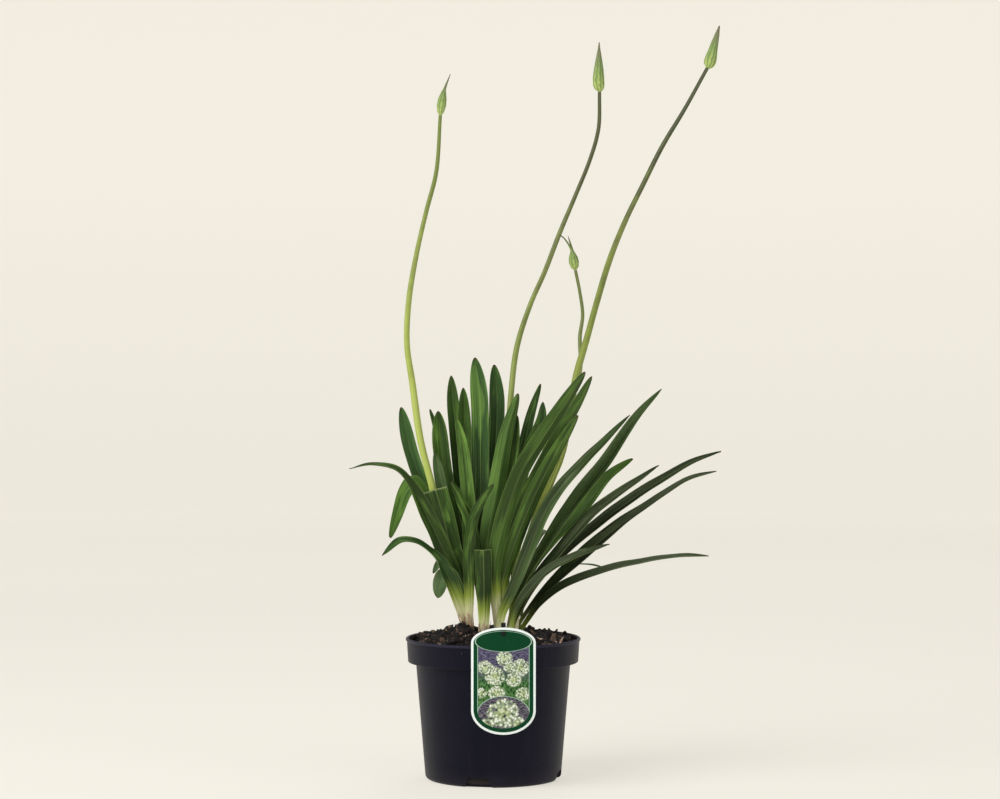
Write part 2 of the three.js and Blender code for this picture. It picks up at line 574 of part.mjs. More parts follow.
function stalkGeometry(stalk) {
  const [foot, middle, top] = stalk.radii;
  const radiusAt = (place) => readPairs([[0, foot], [0.4, middle], [1, top]], place);
  return rodGeometry(stalkCurve(stalk), radiusAt, STALK_RINGS, ROD_SIDES);
}

/** A closed bud that sits on its stalk's cut end, with a thin beak and sometimes a second one. */
function budGeometry({ stalk, path, radii, beak }) {
  const carrier = stalkCurve(STALKS.find(({ name }) => name === stalk));
  const onward = carrier.getTangentAt(1);
  const seat = carrier.getPointAt(1).addScaledVector(onward, SEAT);
  const curve = new THREE.CatmullRomCurve3([
    seat,
    seat.clone().addScaledVector(onward, 2),
    ...path.map(vector),
  ], false, 'centripetal');
  const body = rodGeometry(curve, (place) => readPairs(radii, place), BUD_RINGS, ROD_SIDES);
  if (!beak) {
    return body;
  }
  const strand = new THREE.CatmullRomCurve3(beak.path.map(vector), false, 'centripetal');
  return toGeometry(toSolid(body).add(toSolid(rodGeometry(strand, () => beak.radius, 6, 6))));
}

// ---------------------------------------------------------------- label and clip

/** The label hangs this far in front of the axis; it lies against the clip's riser. */
const RISER_BACK = POT.lipRadius + SEAT;
const LABEL_BACK = RISER_BACK + CLIP.thick + SEAT;

function labelGeometry() {
  const half = LABEL.width / 2;
  const outline = new THREE.Shape();
  outline.absellipse(0, LABEL.high - LABEL.topArc, half, LABEL.topArc, 0, Math.PI);
  outline.absellipse(0, LABEL.low + LABEL.lowArc, half, LABEL.lowArc, Math.PI, 2 * Math.PI);
  const hole = new THREE.Path();
  hole.absarc(0, CLIP.pegHeight, LABEL.hole, 0, 2 * Math.PI, true);
  outline.holes.push(hole);
  const options = { depth: LABEL.thick, bevelEnabled: false, curveSegments: 14 };
  const card = new THREE.ExtrudeGeometry(outline, options);
  card.rotateX(Math.PI / 2);
  return card.translate(LABEL.x, -LABEL_BACK, 0);
}

/** The clip: a hook over the rim, a pointed riser behind the label and a headed peg through it. */
function clipGeometry() {
  const { thick, top, point, innerLeg, outerLeg } = CLIP;
  const inside = POT.lipRadius - CLIP.reach;
  const front = RISER_BACK + thick;
  const bridge = POT.height + SEAT;
  const outline = new THREE.Shape([
    [inside, POT.height - innerLeg],
    [inside - thick, POT.height - innerLeg],
    [inside - thick, bridge + thick],
    [RISER_BACK, bridge + thick],
    [RISER_BACK, top - point],
    [RISER_BACK + thick / 2, top],
    [front, top - point],
    [front, POT.height - outerLeg],
    [RISER_BACK, POT.height - outerLeg],
    [RISER_BACK, bridge],
    [inside, bridge],
  ].map(([y, z]) => new THREE.Vector2(y, z)));
  const hook = new THREE.ExtrudeGeometry(outline, { depth: CLIP.width, bevelEnabled: false });
  hook.rotateX(Math.PI / 2);
  hook.rotateZ(-Math.PI / 2);
  hook.translate(LABEL.x + CLIP.width / 2, 0, 0);

  const neck = LABEL.thick + 2 * SEAT;
  const peg = turned([
    [0, -thick / 2],
    [CLIP.pegRadius, -thick / 2],
    [CLIP.pegRadius, neck],
    [CLIP.headRadius, neck],
    [CLIP.headRadius - CLIP.headThick / 2, neck + CLIP.headThick],
    [0, neck + CLIP.headThick],
  ], 12);
  peg.rotateX(Math.PI / 2);
  peg.translate(LABEL.x, -front, CLIP.pegHeight);
  return toGeometry(toSolid(hook).add(toSolid(peg)));
}

// ---------------------------------------------------------------- the plant in its pot

const plant = new THREE.Group();
plant.name = 'agapanthus_in_pot';

function place(name, geometry, finish) {
  const mesh = new THREE.Mesh(geometry, new THREE.MeshStandardMaterial(finish));
  mesh.name = name;
  plant.add(mesh);
}

place('pot', potGeometry(), FINISH.pot);
place('soil', soilGeometry(), FINISH.soil);
place('label', labelGeometry(), FINISH.label);
place('label_clip', clipGeometry(), FINISH.clip);
for (const leaf of LEAVES) {
  place(leaf.name, leafGeometry(leaf), FINISH.leaf);
}
for (const sheath of SHEATHS) {
  place(sheath.name, leafGeometry(sheath), FINISH.sheath);
}
for (const stalk of STALKS) {
  place(stalk.name, stalkGeometry(stalk), FINISH.stalk);
}
for (const bud of BUDS) {
  place(bud.name, budGeometry(bud), FINISH.bud);
}

export default plant;
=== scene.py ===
"""An agapanthus in its nursery pot: finishes, fine shapes, light and camera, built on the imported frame.

Lengths are metres. The courses of leaves, stalks and buds are lists in millimetres, which `metres`
turns into points.
"""

import enum
import json
import logging
import math
import random
from dataclasses import dataclass
from typing import Callable, Iterable, Sequence, Union

import bpy
import numpy as np
from mathutils import Matrix, Vector, noise

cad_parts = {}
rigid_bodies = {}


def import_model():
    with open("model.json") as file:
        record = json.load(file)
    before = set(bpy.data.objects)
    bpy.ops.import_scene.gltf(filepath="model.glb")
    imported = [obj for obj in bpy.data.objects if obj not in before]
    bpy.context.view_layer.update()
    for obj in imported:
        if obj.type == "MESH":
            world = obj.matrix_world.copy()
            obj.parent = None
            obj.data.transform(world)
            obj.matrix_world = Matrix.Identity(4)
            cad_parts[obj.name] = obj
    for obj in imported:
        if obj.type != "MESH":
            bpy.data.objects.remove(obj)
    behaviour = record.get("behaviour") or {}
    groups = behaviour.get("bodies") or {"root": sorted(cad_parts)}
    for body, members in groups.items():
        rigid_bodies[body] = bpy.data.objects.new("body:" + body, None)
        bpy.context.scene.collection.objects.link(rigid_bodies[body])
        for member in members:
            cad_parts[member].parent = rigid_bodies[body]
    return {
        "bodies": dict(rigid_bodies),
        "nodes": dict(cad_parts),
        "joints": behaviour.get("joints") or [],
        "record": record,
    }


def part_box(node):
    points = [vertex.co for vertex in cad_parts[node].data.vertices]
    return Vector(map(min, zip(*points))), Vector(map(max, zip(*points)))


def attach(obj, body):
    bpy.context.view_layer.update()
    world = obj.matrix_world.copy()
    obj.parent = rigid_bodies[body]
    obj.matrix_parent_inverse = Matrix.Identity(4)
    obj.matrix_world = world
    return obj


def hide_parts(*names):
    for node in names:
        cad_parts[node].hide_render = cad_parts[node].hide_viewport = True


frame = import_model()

LOG = logging.getLogger("agapanthus")
MM = 0.001
SEED = 20261

Pair = tuple[float, float]
Triple = tuple[float, float, float]
Colour = tuple[float, float, float, float]
Piece = bpy.types.Object

POT_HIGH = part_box("pot")[1]
SOIL_LOW, SOIL_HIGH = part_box("soil")
LABEL_LOW, LABEL_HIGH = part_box("label")
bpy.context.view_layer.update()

# Where every shoot and stalk starts in the compost, and up to where it stands upright, in millimetres.
FOOT_HEIGHT = 128
COLLAR_HEIGHT = 158


# ------------------------------------------------------------------ small helpers


def paint(red: int, green: int, blue: int) -> Colour:
    """Turns a screen colour into the linear colour that a shader takes.

    Args:
        red: Red, 0 to 255.
        green: Green, 0 to 255.
        blue: Blue, 0 to 255.

    Returns:
        The linear colour with full alpha.
    """
    linear = []
    for value in (red, green, blue):
        share = value / 255
        linear.append(share / 12.92 if share <= 0.04045 else ((share + 0.055) / 1.055) ** 2.4)
    return (linear[0], linear[1], linear[2], 1.0)


def metres(points: Iterable[Triple]) -> list[Vector]:
    """Turns points in millimetres into metres.

    Args:
        points: The points in millimetres.

    Returns:
        The same points in metres.
    """
    return [Vector(point) * MM for point in points]


def smooth_step(value: float, low: float, high: float) -> float:
    """A smooth rise from 0 at `low` to 1 at `high`.

    Args:
        value: The place to read.
        low: Where the rise starts.
        high: Where it ends.

    Returns:
        The height of the rise at `value`.
    """
    share = min(max((value - low) / (high - low), 0.0), 1.0)
    return share * share * (3 - 2 * share)


def blend(first: float, second: float, share: float) -> float:
    """The value that lies the given share of the way from `first` to `second`."""
    return first + (second - first) * share


def read_pairs(pairs: Sequence[Pair], place: float) -> float:
    """Reads a value off (place, value) pairs, straight between them.

    Args:
        pairs: The pairs, in rising order of place.
        place: Where to read.

    Returns:
        The value there.
    """
    return float(np.interp(place, [pair[0] for pair in pairs], [pair[1] for pair in pairs]))


class Course:
    """A smooth line through points, read by the share of its length (centripetal Catmull-Rom)."""

    STEPS = 24
    GLANCE = 0.004

    def __init__(self, points: Sequence[Vector]) -> None:
        """Lays the line.

        Args:
            points: The points that it passes through.
        """
        padded = [points[0] * 2 - points[1], *points, points[-1] * 2 - points[-2]]
        line = [points[0].copy()]
        for index in range(len(points) - 1):
            line += self._stretch(padded[index:index + 4])
        self.line = line
        lengths = [(after - before).length for before, after in zip(line, line[1:])]
        self.reach = np.concatenate([[0.0], np.cumsum(lengths)])
        self.length = float(self.reach[-1])

    def _stretch(self, corners: Sequence[Vector]) -> list[Vector]:
        """Samples the stretch between the two middle points of four.

        Args:
            corners: The four points.

        Returns:
            The sampled points, without the first.
        """
        first, start, end, last = corners
        gaps = [max((b - a).length, 1e-6) ** 0.5 for a, b in zip(corners, corners[1:])]
        leave = (start - first) / gaps[0] - (end - first) / (gaps[0] + gaps[1]) + (end - start) / gaps[1]
        arrive = (end - start) / gaps[1] - (last - start) / (gaps[1] + gaps[2]) + (last - end) / gaps[2]
        leave, arrive = leave * gaps[1], arrive * gaps[1]
        square = (end - start) * 3 - leave * 2 - arrive
        cube = (start - end) * 2 + leave + arrive
        shares = [step / self.STEPS for step in range(1, self.STEPS + 1)]
        return [start + leave * s + square * s ** 2 + cube * s ** 3 for s in shares]

    def at(self, place: float) -> Vector:
        """The point at a share of the length.

        Args:
            place: The share, 0 at the start and 1 at the end.

        Returns:
            The point.
        """
        wanted = place * self.length
        index = int(np.clip(np.searchsorted(self.reach, wanted) - 1, 0, len(self.line) - 2))
        step = max(self.reach[index + 1] - self.reach[index], 1e-9)
        return self.line[index].lerp(self.line[index + 1], float((wanted - self.reach[index]) / step))

    def heading(self, place: float) -> Vector:
        """The direction of travel at a share of the length."""
        near, far = max(place - self.GLANCE, 0.0), min(place + self.GLANCE, 1.0)
        return (self.at(far) - self.at(near)).normalized()


def shoot_course(foot: Pair, path: Sequence[Triple]) -> Course:
    """The course of a leaf or stalk, which stands upright until it is out of the compost.

    Args:
        foot: Where it stands, in millimetres.
        path: The points above, in millimetres.

    Returns:
        The course.
    """
    return Course(metres([(*foot, FOOT_HEIGHT), (*foot, COLLAR_HEIGHT), *path]))


# ------------------------------------------------------------------ shaders


class Shade:
    """A node's output that takes part in sums: each operator adds a Math node."""

    def __init__(self, pad: "Pad", socket: bpy.types.NodeSocket) -> None:
        """Wraps a socket.

        Args:
            pad: The material that the node is in.
            socket: The output.
        """
        self.pad = pad
        self.socket = socket

    def _math(self, operation: str, *others: "Number", flip: bool = False) -> "Shade":
        """Adds a Math node on this value.

        Args:
            operation: Its operation.
            others: The other values.
            flip: Whether this value comes second.

        Returns:
            The result.
        """
        values = [*others, self] if flip else [self, *others]
        return self.pad.node("Math", {"operation": operation}, dict(enumerate(values)))

    def __add__(self, other: "Number") -> "Shade":
        """This plus the other."""
        return self._math("ADD", other)

    __radd__ = __add__

    def __sub__(self, other: "Number") -> "Shade":
        """This less the other."""
        return self._math("SUBTRACT", other)

    def __rsub__(self, other: "Number") -> "Shade":
        """The other less this."""
        return self._math("SUBTRACT", other, flip=True)

    def __mul__(self, other: "Number") -> "Shade":
        """This times the other."""
        return self._math("MULTIPLY", other)

    __rmul__ = __mul__

    def __truediv__(self, other: "Number") -> "Shade":
        """This over the other."""
        return self._math("DIVIDE", other)

    def __rtruediv__(self, other: "Number") -> "Shade":
        """The other over this."""
        return self._math("DIVIDE", other, flip=True)

    def __lt__(self, other: "Number") -> "Shade":
        """1 where this is less than the other."""
        return self._math("LESS_THAN", other)

    def __gt__(self, other: "Number") -> "Shade":
        """1 where this is more than the other."""
        return self._math("GREATER_THAN", other)

    def size(self) -> "Shade":
        """This without its sign."""
        return self._math("ABSOLUTE")

    def sine(self) -> "Shade":
        """The sine of this."""
        return self._math("SINE")

    def least(self, other: "Number") -> "Shade":
        """The lesser of this and the other."""
        return self._math("MINIMUM", other)

    def most(self, other: "Number") -> "Shade":
        """The greater of this and the other."""
        return self._math("MAXIMUM", other)

    def rise(self, low: float, high: float) -> "Shade":
        """A smooth rise from 0 at `low` to 1 at `high`, or a fall where `low` is the greater.

        Args:
            low: Where it is 0.
            high: Where it is 1.

        Returns:
            The height of the rise.
        """
        settings = {"interpolation_type": "SMOOTHSTEP"}
        if low > high:
            return self.pad.node("MapRange", settings, {0: self, 1: high, 2: low, 3: 1.0, 4: 0.0})
        return self.pad.node("MapRange", settings, {0: self, 1: low, 2: high, 3: 0.0, 4: 1.0})


Number = Union[Shade, float]


class Pad:
    """One material's node tree, written as expressions."""

    def __init__(self, name: str) -> None:
        """Starts a material.

        Args:
            name: Its name.
        """
        self.material = bpy.data.materials.new(name)
        self.material.use_nodes = True
        self.tree = self.material.node_tree
        self.surface = self.tree.nodes["Principled BSDF"]

    def node(self, kind: str, settings: dict, sockets: dict, output: Union[int, str] = 0) -> Shade:
        """Adds a node.

        Args:
            kind: Its type, without the ShaderNode in front.
            settings: Its settings; `stops` are a ramp's (place, colour) pairs.
            sockets: Values or links by input name or number.
            output: Which output to hand back.

        Returns:
            The output.
        """
        made = self.tree.nodes.new("ShaderNode" + kind)
        for name, value in settings.items():
            if name == "stops":
                self._set_stops(made.color_ramp, value)
            else:
                setattr(made, name, value)
        for name, value in sockets.items():
            self.join(made.inputs[name], value)
        return Shade(self, made.outputs[output])

    @staticmethod
    def _set_stops(ramp: bpy.types.ColorRamp, stops: Sequence[tuple[float, Colour]]) -> None:
        """Sets a ramp's stops.

        Args:
            ramp: The ramp.
            stops: The (place, colour) pairs.
        """
        while len(ramp.elements) > 1:
            ramp.elements.remove(ramp.elements[-1])
        for index, (place, colour) in enumerate(stops):
            element = ramp.elements[0] if index == 0 else ramp.elements.new(place)
            element.position, element.color = place, colour

    def join(self, target: bpy.types.NodeSocket, value: object) -> None:
        """Sets an input, or links it where the value is a Shade.

        Args:
            target: The input.
            value: The value or link.
        """
        if isinstance(value, Shade):
            self.tree.links.new(value.socket, target)
        else:
            target.default_value = value

    def set(self, **values: object) -> None:
        """Sets the surface's inputs; an underscore in a name stands for a space."""
        for name, value in values.items():
            self.join(self.surface.inputs[name.replace("_", " ")], value)

    def split(self, vector: Shade) -> list[Shade]:
        """Takes a vector apart.

        Args:
            vector: The vector.

        Returns:
            Its X, Y and Z.
        """
        parts = self.tree.nodes.new("ShaderNodeSeparateXYZ")
        self.join(parts.inputs[0], vector)
        return [Shade(self, output) for output in parts.outputs]

    def whole(self) -> Shade:
        """The place on the object."""
        return self.node("TexCoord", {}, {}, "Object")

    def place(self) -> tuple[Shade, Shade, Shade, Shade]:
        """The place on the object, whole and as its X, Y and Z."""
        whole = self.whole()
        return (whole, *self.split(whole))

    def map(self) -> tuple[Shade, Shade]:
        """The piece's own UV map, as across and along."""
        across, along, _ = self.split(self.node("TexCoord", {}, {}, "UV"))
        return across, along

    def point(self, x: Number, y: Number, z: Number) -> Shade:
        """A vector from its three parts."""
        return self.node("CombineXYZ", {}, {0: x, 1: y, 2: z})

    def grain(self, where: Shade, scale: float, detail: float = 3.0, rough: float = 0.55) -> Shade:
        """Cloudy noise from 0 to 1.

        Args:
            where: The place to read it at.
            scale: How fine it is.
            detail: How many finer layers it has.
            rough: How strong those are.

        Returns:
            The noise.
        """
        sockets = {"Vector": where, "Scale": scale, "Detail": detail, "Roughness": rough}
        return self.node("TexNoise", {}, sockets)

    def streaks(self, x: Number, y: Number, z: Number, detail: float = 3.0, rough: float = 0.55) -> Shade:
        """Noise that is drawn out: the three parts of its place each have a scale of their own."""
        return self.grain(self.point(x, y, z), 1.0, detail, rough)

    def mix(self, share: Number, first: object, second: object) -> Shade:
        """The first colour with a share of the second in it."""
        return self.node("Mix", {"data_type": "RGBA"}, {0: share, 6: first, 7: second}, 2)

    def coat(self, colour: object, *coats: tuple[Number, object]) -> Shade:
        """Lays thin coats over a colour.

        Args:
            colour: The colour.
            coats: How much of each coat covers, and the coat's colour.

        Returns:
            The colour that is seen.
        """
        for share, over in coats:
            colour = self.mix(share, colour, over)
        return colour

    def bump(self, height: Shade, depth: float) -> None:
        """Raises the surface by a height, of which 1 is as much as `depth`, in metres."""
        self.set(Normal=self.node("Bump", {}, {"Height": height, "Distance": depth, "Strength": 1.0}))


# ------------------------------------------------------------------ finishes

CREAM = paint(244, 240, 200)
STRAW_GREEN = paint(176, 196, 80)
RIB_GREEN = paint(160, 178, 116)
MARGIN_GREEN = paint(132, 150, 92)
# The next two colours are painted sheen: pale greens that stand for highlights on the leaves, the second a
# greyer one.
LEAF_SHEEN = paint(132, 176, 76)
DULL_LEAF_SHEEN = paint(122, 138, 104)
LEAF_SPECK = paint(120, 96, 52)
DRY_TIP = paint(92, 62, 52)
CUT_EDGE = paint(150, 166, 112)


@dataclass(frozen=True)
class LeafFinish:
    """The skin of a strap leaf: parallel veins, lengthwise bands that partly paint one half lighter where
    light falls on it, a pale midrib, foot and margin, with pale patches and streaks of painted sheen and
    darker patches of painted shade.
    """

    name: str
    deep: Colour
    light: Colour
    band: float = 0.5
    foot: float = 0.0
    end: Colour = DRY_TIP
    end_from: float = 0.972
    rib: float = 0.14
    # The colour of the painted sheen in pale patches and streaks.
    pale: Colour = LEAF_SHEEN
    veins: int = 15
    rib_edge: Pair = (0.085, 0.02)
    margin_edge: Pair = (0.94, 0.985)
    straw_foot: Pair = (0.206, 0.174)
    cream_foot: Pair = (0.188, 0.164)
    end_blur: float = 0.014
    relief: float = 0.00022

    def material(self) -> bpy.types.Material:
        """Builds the material.

        Returns:
            The material.
        """
        pad = Pad(self.name)
        across, along = pad.map()
        whole, _, _, height = pad.place()
        chance = pad.node("Attribute", {"attribute_name": "chance"}, {}, "Fac")
        # The broad bands across the leaf are partly painted light: one half of some leaves is painted
        # lighter, where light falls on that side of the channel.
        broad_band_and_lit_half = pad.streaks(across * 4.2, along * 1.5, chance * 61)
        fine = pad.streaks(across * 34, along * 5, chance * 37, 2.0, 0.5)
        sheen_and_shade_patch = pad.streaks(across * 1.6, along * 4.5, chance * 83, 2.0)
        streak = pad.streaks(across * 15, along * 2.2, chance * 29, 2.0, 0.5)
        wander = pad.streaks(across * 9, along * 2, 8.1, 2.0) * 0.03
        cloud = pad.grain(whole, 26.0, 2.0)
        bands = (broad_band_and_lit_half.rise(0.38, 0.62) * self.band + fine.rise(0.3, 0.75) * 0.3).least(1.0)
        off_rib = (across - 0.5).size() * 2
        rib_line = off_rib.rise(*self.rib_edge)
        foot_height = height - wander - self.foot
        specks = pad.grain(whole, 420.0, 2.0).rise(0.72, 0.78) * cloud.rise(0.5, 0.6)
        tip = (along + (fine - 0.5) * 0.016).rise(self.end_from, self.end_from + self.end_blur)
        skin = pad.coat(
            self.deep, (bands, self.light),
            (cloud.rise(0.45, 0.75) * 0.3, pad.mix(0.4, self.deep, self.light)),
            # Pale patches of painted sheen, then darker patches of painted shade, along the leaf.
            (sheen_and_shade_patch.rise(0.50, 0.66) * 0.6, pad.mix(0.5, self.light, self.pale)),
            (sheen_and_shade_patch.rise(0.46, 0.30) * 0.65, self.deep),
            # Pale streaks of painted sheen, with darker streaks between them.
            (streak.rise(0.56, 0.74) * 0.5, self.pale), (streak.rise(0.44, 0.30) * 0.6, self.deep),
            (chance.rise(0.6, 1.0) * 0.25, self.light), (chance.rise(0.4, 0.0) * 0.35, self.deep),
            (rib_line * self.rib, RIB_GREEN), (off_rib.rise(*self.margin_edge) * 0.4, MARGIN_GREEN),
            (foot_height.rise(*self.straw_foot) * 0.92, STRAW_GREEN),
            (foot_height.rise(*self.cream_foot) * 0.9, CREAM),
            (specks * 0.5, LEAF_SPECK), (tip * 0.85, self.end))
        vein = (across * (math.tau * self.veins)).sine() * 0.5 + 0.5
        pad.set(Base_Color=skin, Roughness=0.33 + cloud * 0.14 + fine * 0.10)
        pad.set(Specular_IOR_Level=0.4, Specular_Tint=paint(236, 248, 206))
        pad.bump(vein * 0.6 + fine * 0.4 - rib_line * 0.8, self.relief)
        return pad.material


class Tone(enum.Enum):
    """The greens that the leaves come in."""

    # The pale colour of a tone is its painted sheen.
    DEEP = LeafFinish("leaf_deep_green", paint(20, 42, 8), paint(60, 96, 26), 0.55)
    NIGHT = LeafFinish("leaf_night_green", paint(17, 28, 10), paint(66, 82, 48), 0.5, foot=-0.032,
                       pale=paint(100, 106, 84))
    SHADE = LeafFinish("leaf_shade_green", paint(20, 38, 12), paint(66, 94, 42), 0.55, foot=-0.018,
                       pale=DULL_LEAF_SHEEN)
    HEART = LeafFinish("leaf_heart_green", paint(24, 48, 10), paint(70, 104, 34), 0.6, foot=0.004,
                       pale=paint(112, 152, 62))
    MID = LeafFinish("leaf_mid_green", paint(26, 54, 10), paint(74, 112, 34), 0.55)
    LIGHT = LeafFinish("leaf_light_green", paint(42, 74, 22), paint(104, 140, 64), 0.6)
    BLUE = LeafFinish("leaf_blue_green", paint(22, 52, 20), paint(66, 106, 50), 0.5)
    GREY = LeafFinish("leaf_grey_green", paint(44, 70, 36), paint(92, 124, 74), 0.5, foot=-0.045,
                      pale=DULL_LEAF_SHEEN)
    CUT_MID = LeafFinish("leaf_cut_mid_green", paint(22, 44, 10), paint(62, 98, 32), 0.55,
                         end=CUT_EDGE, end_from=0.988)
    CUT_DEEP = LeafFinish("leaf_cut_deep_green", paint(14, 30, 8), paint(42, 72, 24), 0.5,
                          foot=-0.018, end=CUT_EDGE, end_from=0.990, rib=0.2)


@dataclass(frozen=True)
class SheathFinish:
    """Dry papery remains of old leaves."""

    name: str
    dark: Colour
    light: Colour
    relief: float = 0.0006

    def material(self) -> bpy.types.Material:
        """Builds the material.

        Returns:
            The material.
        """
        pad = Pad(self.name)
        across, along = pad.map()
        fibre = pad.streaks(across * 26, along * 3, 0.4, 4.0, 0.7)
        blot = pad.grain(pad.whole(), 150.0)
        skin = pad.mix((fibre * 0.6 + blot * 0.5).rise(0.40, 0.66), self.dark, self.light)
        pad.set(Base_Color=skin, Roughness=0.72 + fibre * 0.2)
        pad.bump(fibre, self.relief)
        return pad.material


RED_PAPER = SheathFinish("dry_sheath_red_paper", paint(184, 136, 106), paint(246, 224, 194))
PALE_PAPER = SheathFinish("dry_sheath_pale_paper", paint(178, 142, 116), paint(242, 228, 206))


@dataclass(frozen=True)
class StalkFinish:
    """The round flower stalk: fine ribs, pale where it leaves the leaves, olive towards the bud."""

    name: str
    low: Colour
    middle: Colour
    high: Colour
    pale: Colour = paint(204, 210, 140)
    dark: Colour = paint(84, 102, 36)
    ribs: int = 9
    relief: float = 0.0003

    def material(self) -> bpy.types.Material:
        """Builds the material.

        Returns:
            The material.
        """
        pad = Pad(self.name)
        across, along = pad.map()
        whole, _, _, height = pad.place()
        streak = pad.streaks(across * 24, along * 9, 2.2, 3.0, 0.6)
        cloud = pad.grain(whole, 60.0)
        reach = along + (cloud - 0.5) * 0.2
        skin = pad.coat(
            self.low, (reach.rise(0.28, 0.48), self.middle), (reach.rise(0.72, 0.96), self.high),
            (streak.rise(0.45, 0.75) * 0.35, self.pale), (streak.rise(0.5, 0.28) * 0.22, self.dark),
            (height.rise(0.20, 0.16), CREAM))
        pad.set(Base_Color=skin, Roughness=0.36 + cloud * 0.2)
        rib = (across * (math.tau * self.ribs)).sine() * 0.5 + 0.5
        pad.bump(rib * 0.5 + streak * 0.5, self.relief)
        return pad.material


@dataclass(frozen=True)
class BudFinish:
    """The closed spathe: pale skin with darker stripes that run up into a dry beak."""

    pale: Colour = paint(188, 206, 118)
    stripe: Colour = paint(56, 92, 28)
    foot: Colour = paint(96, 108, 44)
    green: Colour = paint(74, 114, 58)
    dry: Colour = paint(118, 112, 88)
    tip: Colour = paint(74, 62, 50)
    stripes: int = 9
    relief: float = 0.0004

    def material(self) -> bpy.types.Material:
        """Builds the material.

        Returns:
            The material.
        """
        pad = Pad("bud_spathe_skin")
        across, along = pad.map()
        cloud = pad.grain(pad.whole(), 190.0)
        line = (across * (math.tau * self.stripes) + cloud * 6).sine()
        fine = pad.streaks(across * 40, along * 4, 5.0, 3.0, 0.6)
        beak = (along + (cloud - 0.5) * 0.3).rise(0.42, 0.8)
        skin = pad.coat(
            self.pale, (line.rise(0.0, 0.9) * 0.55 + fine.rise(0.46, 0.7) * 0.4, self.stripe),
            (along.rise(0.16, 0.02) * 0.6, self.foot), (beak * 0.6, self.green),
            (beak * along.rise(0.7, 0.95) * 0.8, self.dry), (along.rise(0.95, 1.0) * 0.7, self.tip))
        pad.set(Base_Color=skin, Roughness=0.45 + cloud * 0.2)
        pad.bump(line * 0.3 + fine * 0.7, self.relief)
        return pad.material


@dataclass(frozen=True)
class PotFinish:
    """Moulded black plastic with a blue cast, drag marks, dust and scuffs, cloudy patches of painted sheen
    and a painted highlight along the top of the lip.
    """

    body: Colour = paint(8, 8, 16)
    # Colour of the cloudy patches of painted sheen.
    painted_sheen: Colour = paint(15, 15, 27)
    # Colour of the painted highlight along the top of the lip, and of the drag marks.
    lip: Colour = paint(50, 48, 66)
    dust: Colour = paint(104, 98, 96)
    crumbs: Colour = paint(86, 70, 58)
    lip_highlight_blur: float = 0.0012
    foot_dust: float = 0.02
    relief: float = 0.00018

    def material(self) -> bpy.types.Material:
        """Builds the material.

        Returns:
            The material.
        """
        pad = Pad("pot_moulded_plastic")
        whole, x, y, height = pad.place()
        drag = pad.streaks(x * 90, y * 90, height * 9, 4.0, 0.6)
        cloud = pad.grain(whole, 22.0)
        scuff = pad.streaks(x * 60, y * 60, height * 400, 2.0).rise(0.7, 0.8)
        crumb_dust = pad.grain(whole, 900.0, 2.0).rise(0.66, 0.74) * cloud.rise(0.45, 0.7)
        # The top of the lip is painted lighter: a painted highlight.
        lip = (height - (POT_HIGH.z - NurseryPot.lip_depth)).rise(0.0, self.lip_highlight_blur)
        # Cloudy patches of painted sheen, then drag marks, a painted highlight along the lip, scuffs,
        # crumbs and dust near the foot.
        skin = pad.coat(
            self.body, (cloud.rise(0.35, 0.7) * 0.6, self.painted_sheen), (drag.rise(0.55, 0.8) * 0.14, self.lip),
            (lip * 0.55, self.lip), (scuff * 0.10, self.dust), (crumb_dust * 0.35, self.crumbs),
            (height.rise(self.foot_dust, 0.0) * 0.12 * cloud, self.dust))
        pad.set(Base_Color=skin, Roughness=0.36 + cloud * 0.12 + drag * 0.1 + crumb_dust * 0.3)
        pad.set(Specular_IOR_Level=0.22, Specular_Tint=paint(196, 196, 240))
        pebble = pad.grain(whole, 1400.0, 2.0)
        pad.bump(drag * 0.6 + pebble * 0.4, self.relief)
        return pad.material


@dataclass(frozen=True)
class CompostFinish:
    """Bark compost: dark crumbs, reddish chips and a few pale bits, told apart by an attribute; the pale
    bits are partly light specks, partly painted glints on the wet compost.
    """

    wet: Colour = paint(15, 10, 8)
    crumb: Colour = paint(50, 36, 28)
    kinds: tuple[tuple[float, Colour], ...] = (
        (0.0, paint(8, 6, 7)), (0.42, paint(22, 16, 16)), (0.58, paint(50, 38, 35)),
        # The palest stop colours the pale bits, which are partly painted glints.
        (0.74, paint(98, 78, 67)), (0.88, paint(186, 158, 136)), (1.0, paint(238, 226, 212)),
    )
    relief: float = 0.0012

    def material(self) -> bpy.types.Material:
        """Builds the material.

        Returns:
            The material.
        """
        pad = Pad("bark_compost")
        whole = pad.whole()
        kind = pad.node("Attribute", {"attribute_name": "kind"}, {}, "Fac")
        cloud = pad.grain(whole, 130.0, 4.0, 0.65)
        fine = pad.grain(whole, 1100.0, 3.0, 0.6)
        tint = pad.node("ValToRGB", {"stops": self.kinds}, {0: kind})
        skin = pad.coat(self.wet, (cloud.rise(0.2, 0.5), tint), (fine.rise(0.55, 0.8) * 0.35, self.crumb))
        pad.set(Base_Color=skin, Roughness=0.72 + fine * 0.25, Specular_IOR_Level=0.45)
        pad.bump(fine * 0.6 + cloud * 0.4, self.relief)
        return pad.material


@dataclass(frozen=True)
class ClipFinish:
    """The small black clip."""

    body: Colour = paint(11, 12, 13)
    worn: Colour = paint(24, 26, 28)
    relief: float = 0.00012

    def material(self) -> bpy.types.Material:
        """Builds the material.

        Returns:
            The material.
        """
        pad = Pad("clip_plastic")
        grain = pad.grain(pad.whole(), 700.0)
        pad.set(Base_Color=pad.mix(grain * 0.5, self.body, self.worn), Roughness=0.5 + grain * 0.2)
        pad.set(Specular_IOR_Level=0.25)
        pad.bump(grain, self.relief)
        return pad.material


@dataclass(frozen=True)
class Oval:
    """An oval panel on the label, in metres from the label's middle line and foot."""

    x: float
    z: float
    wide: float
    high: float


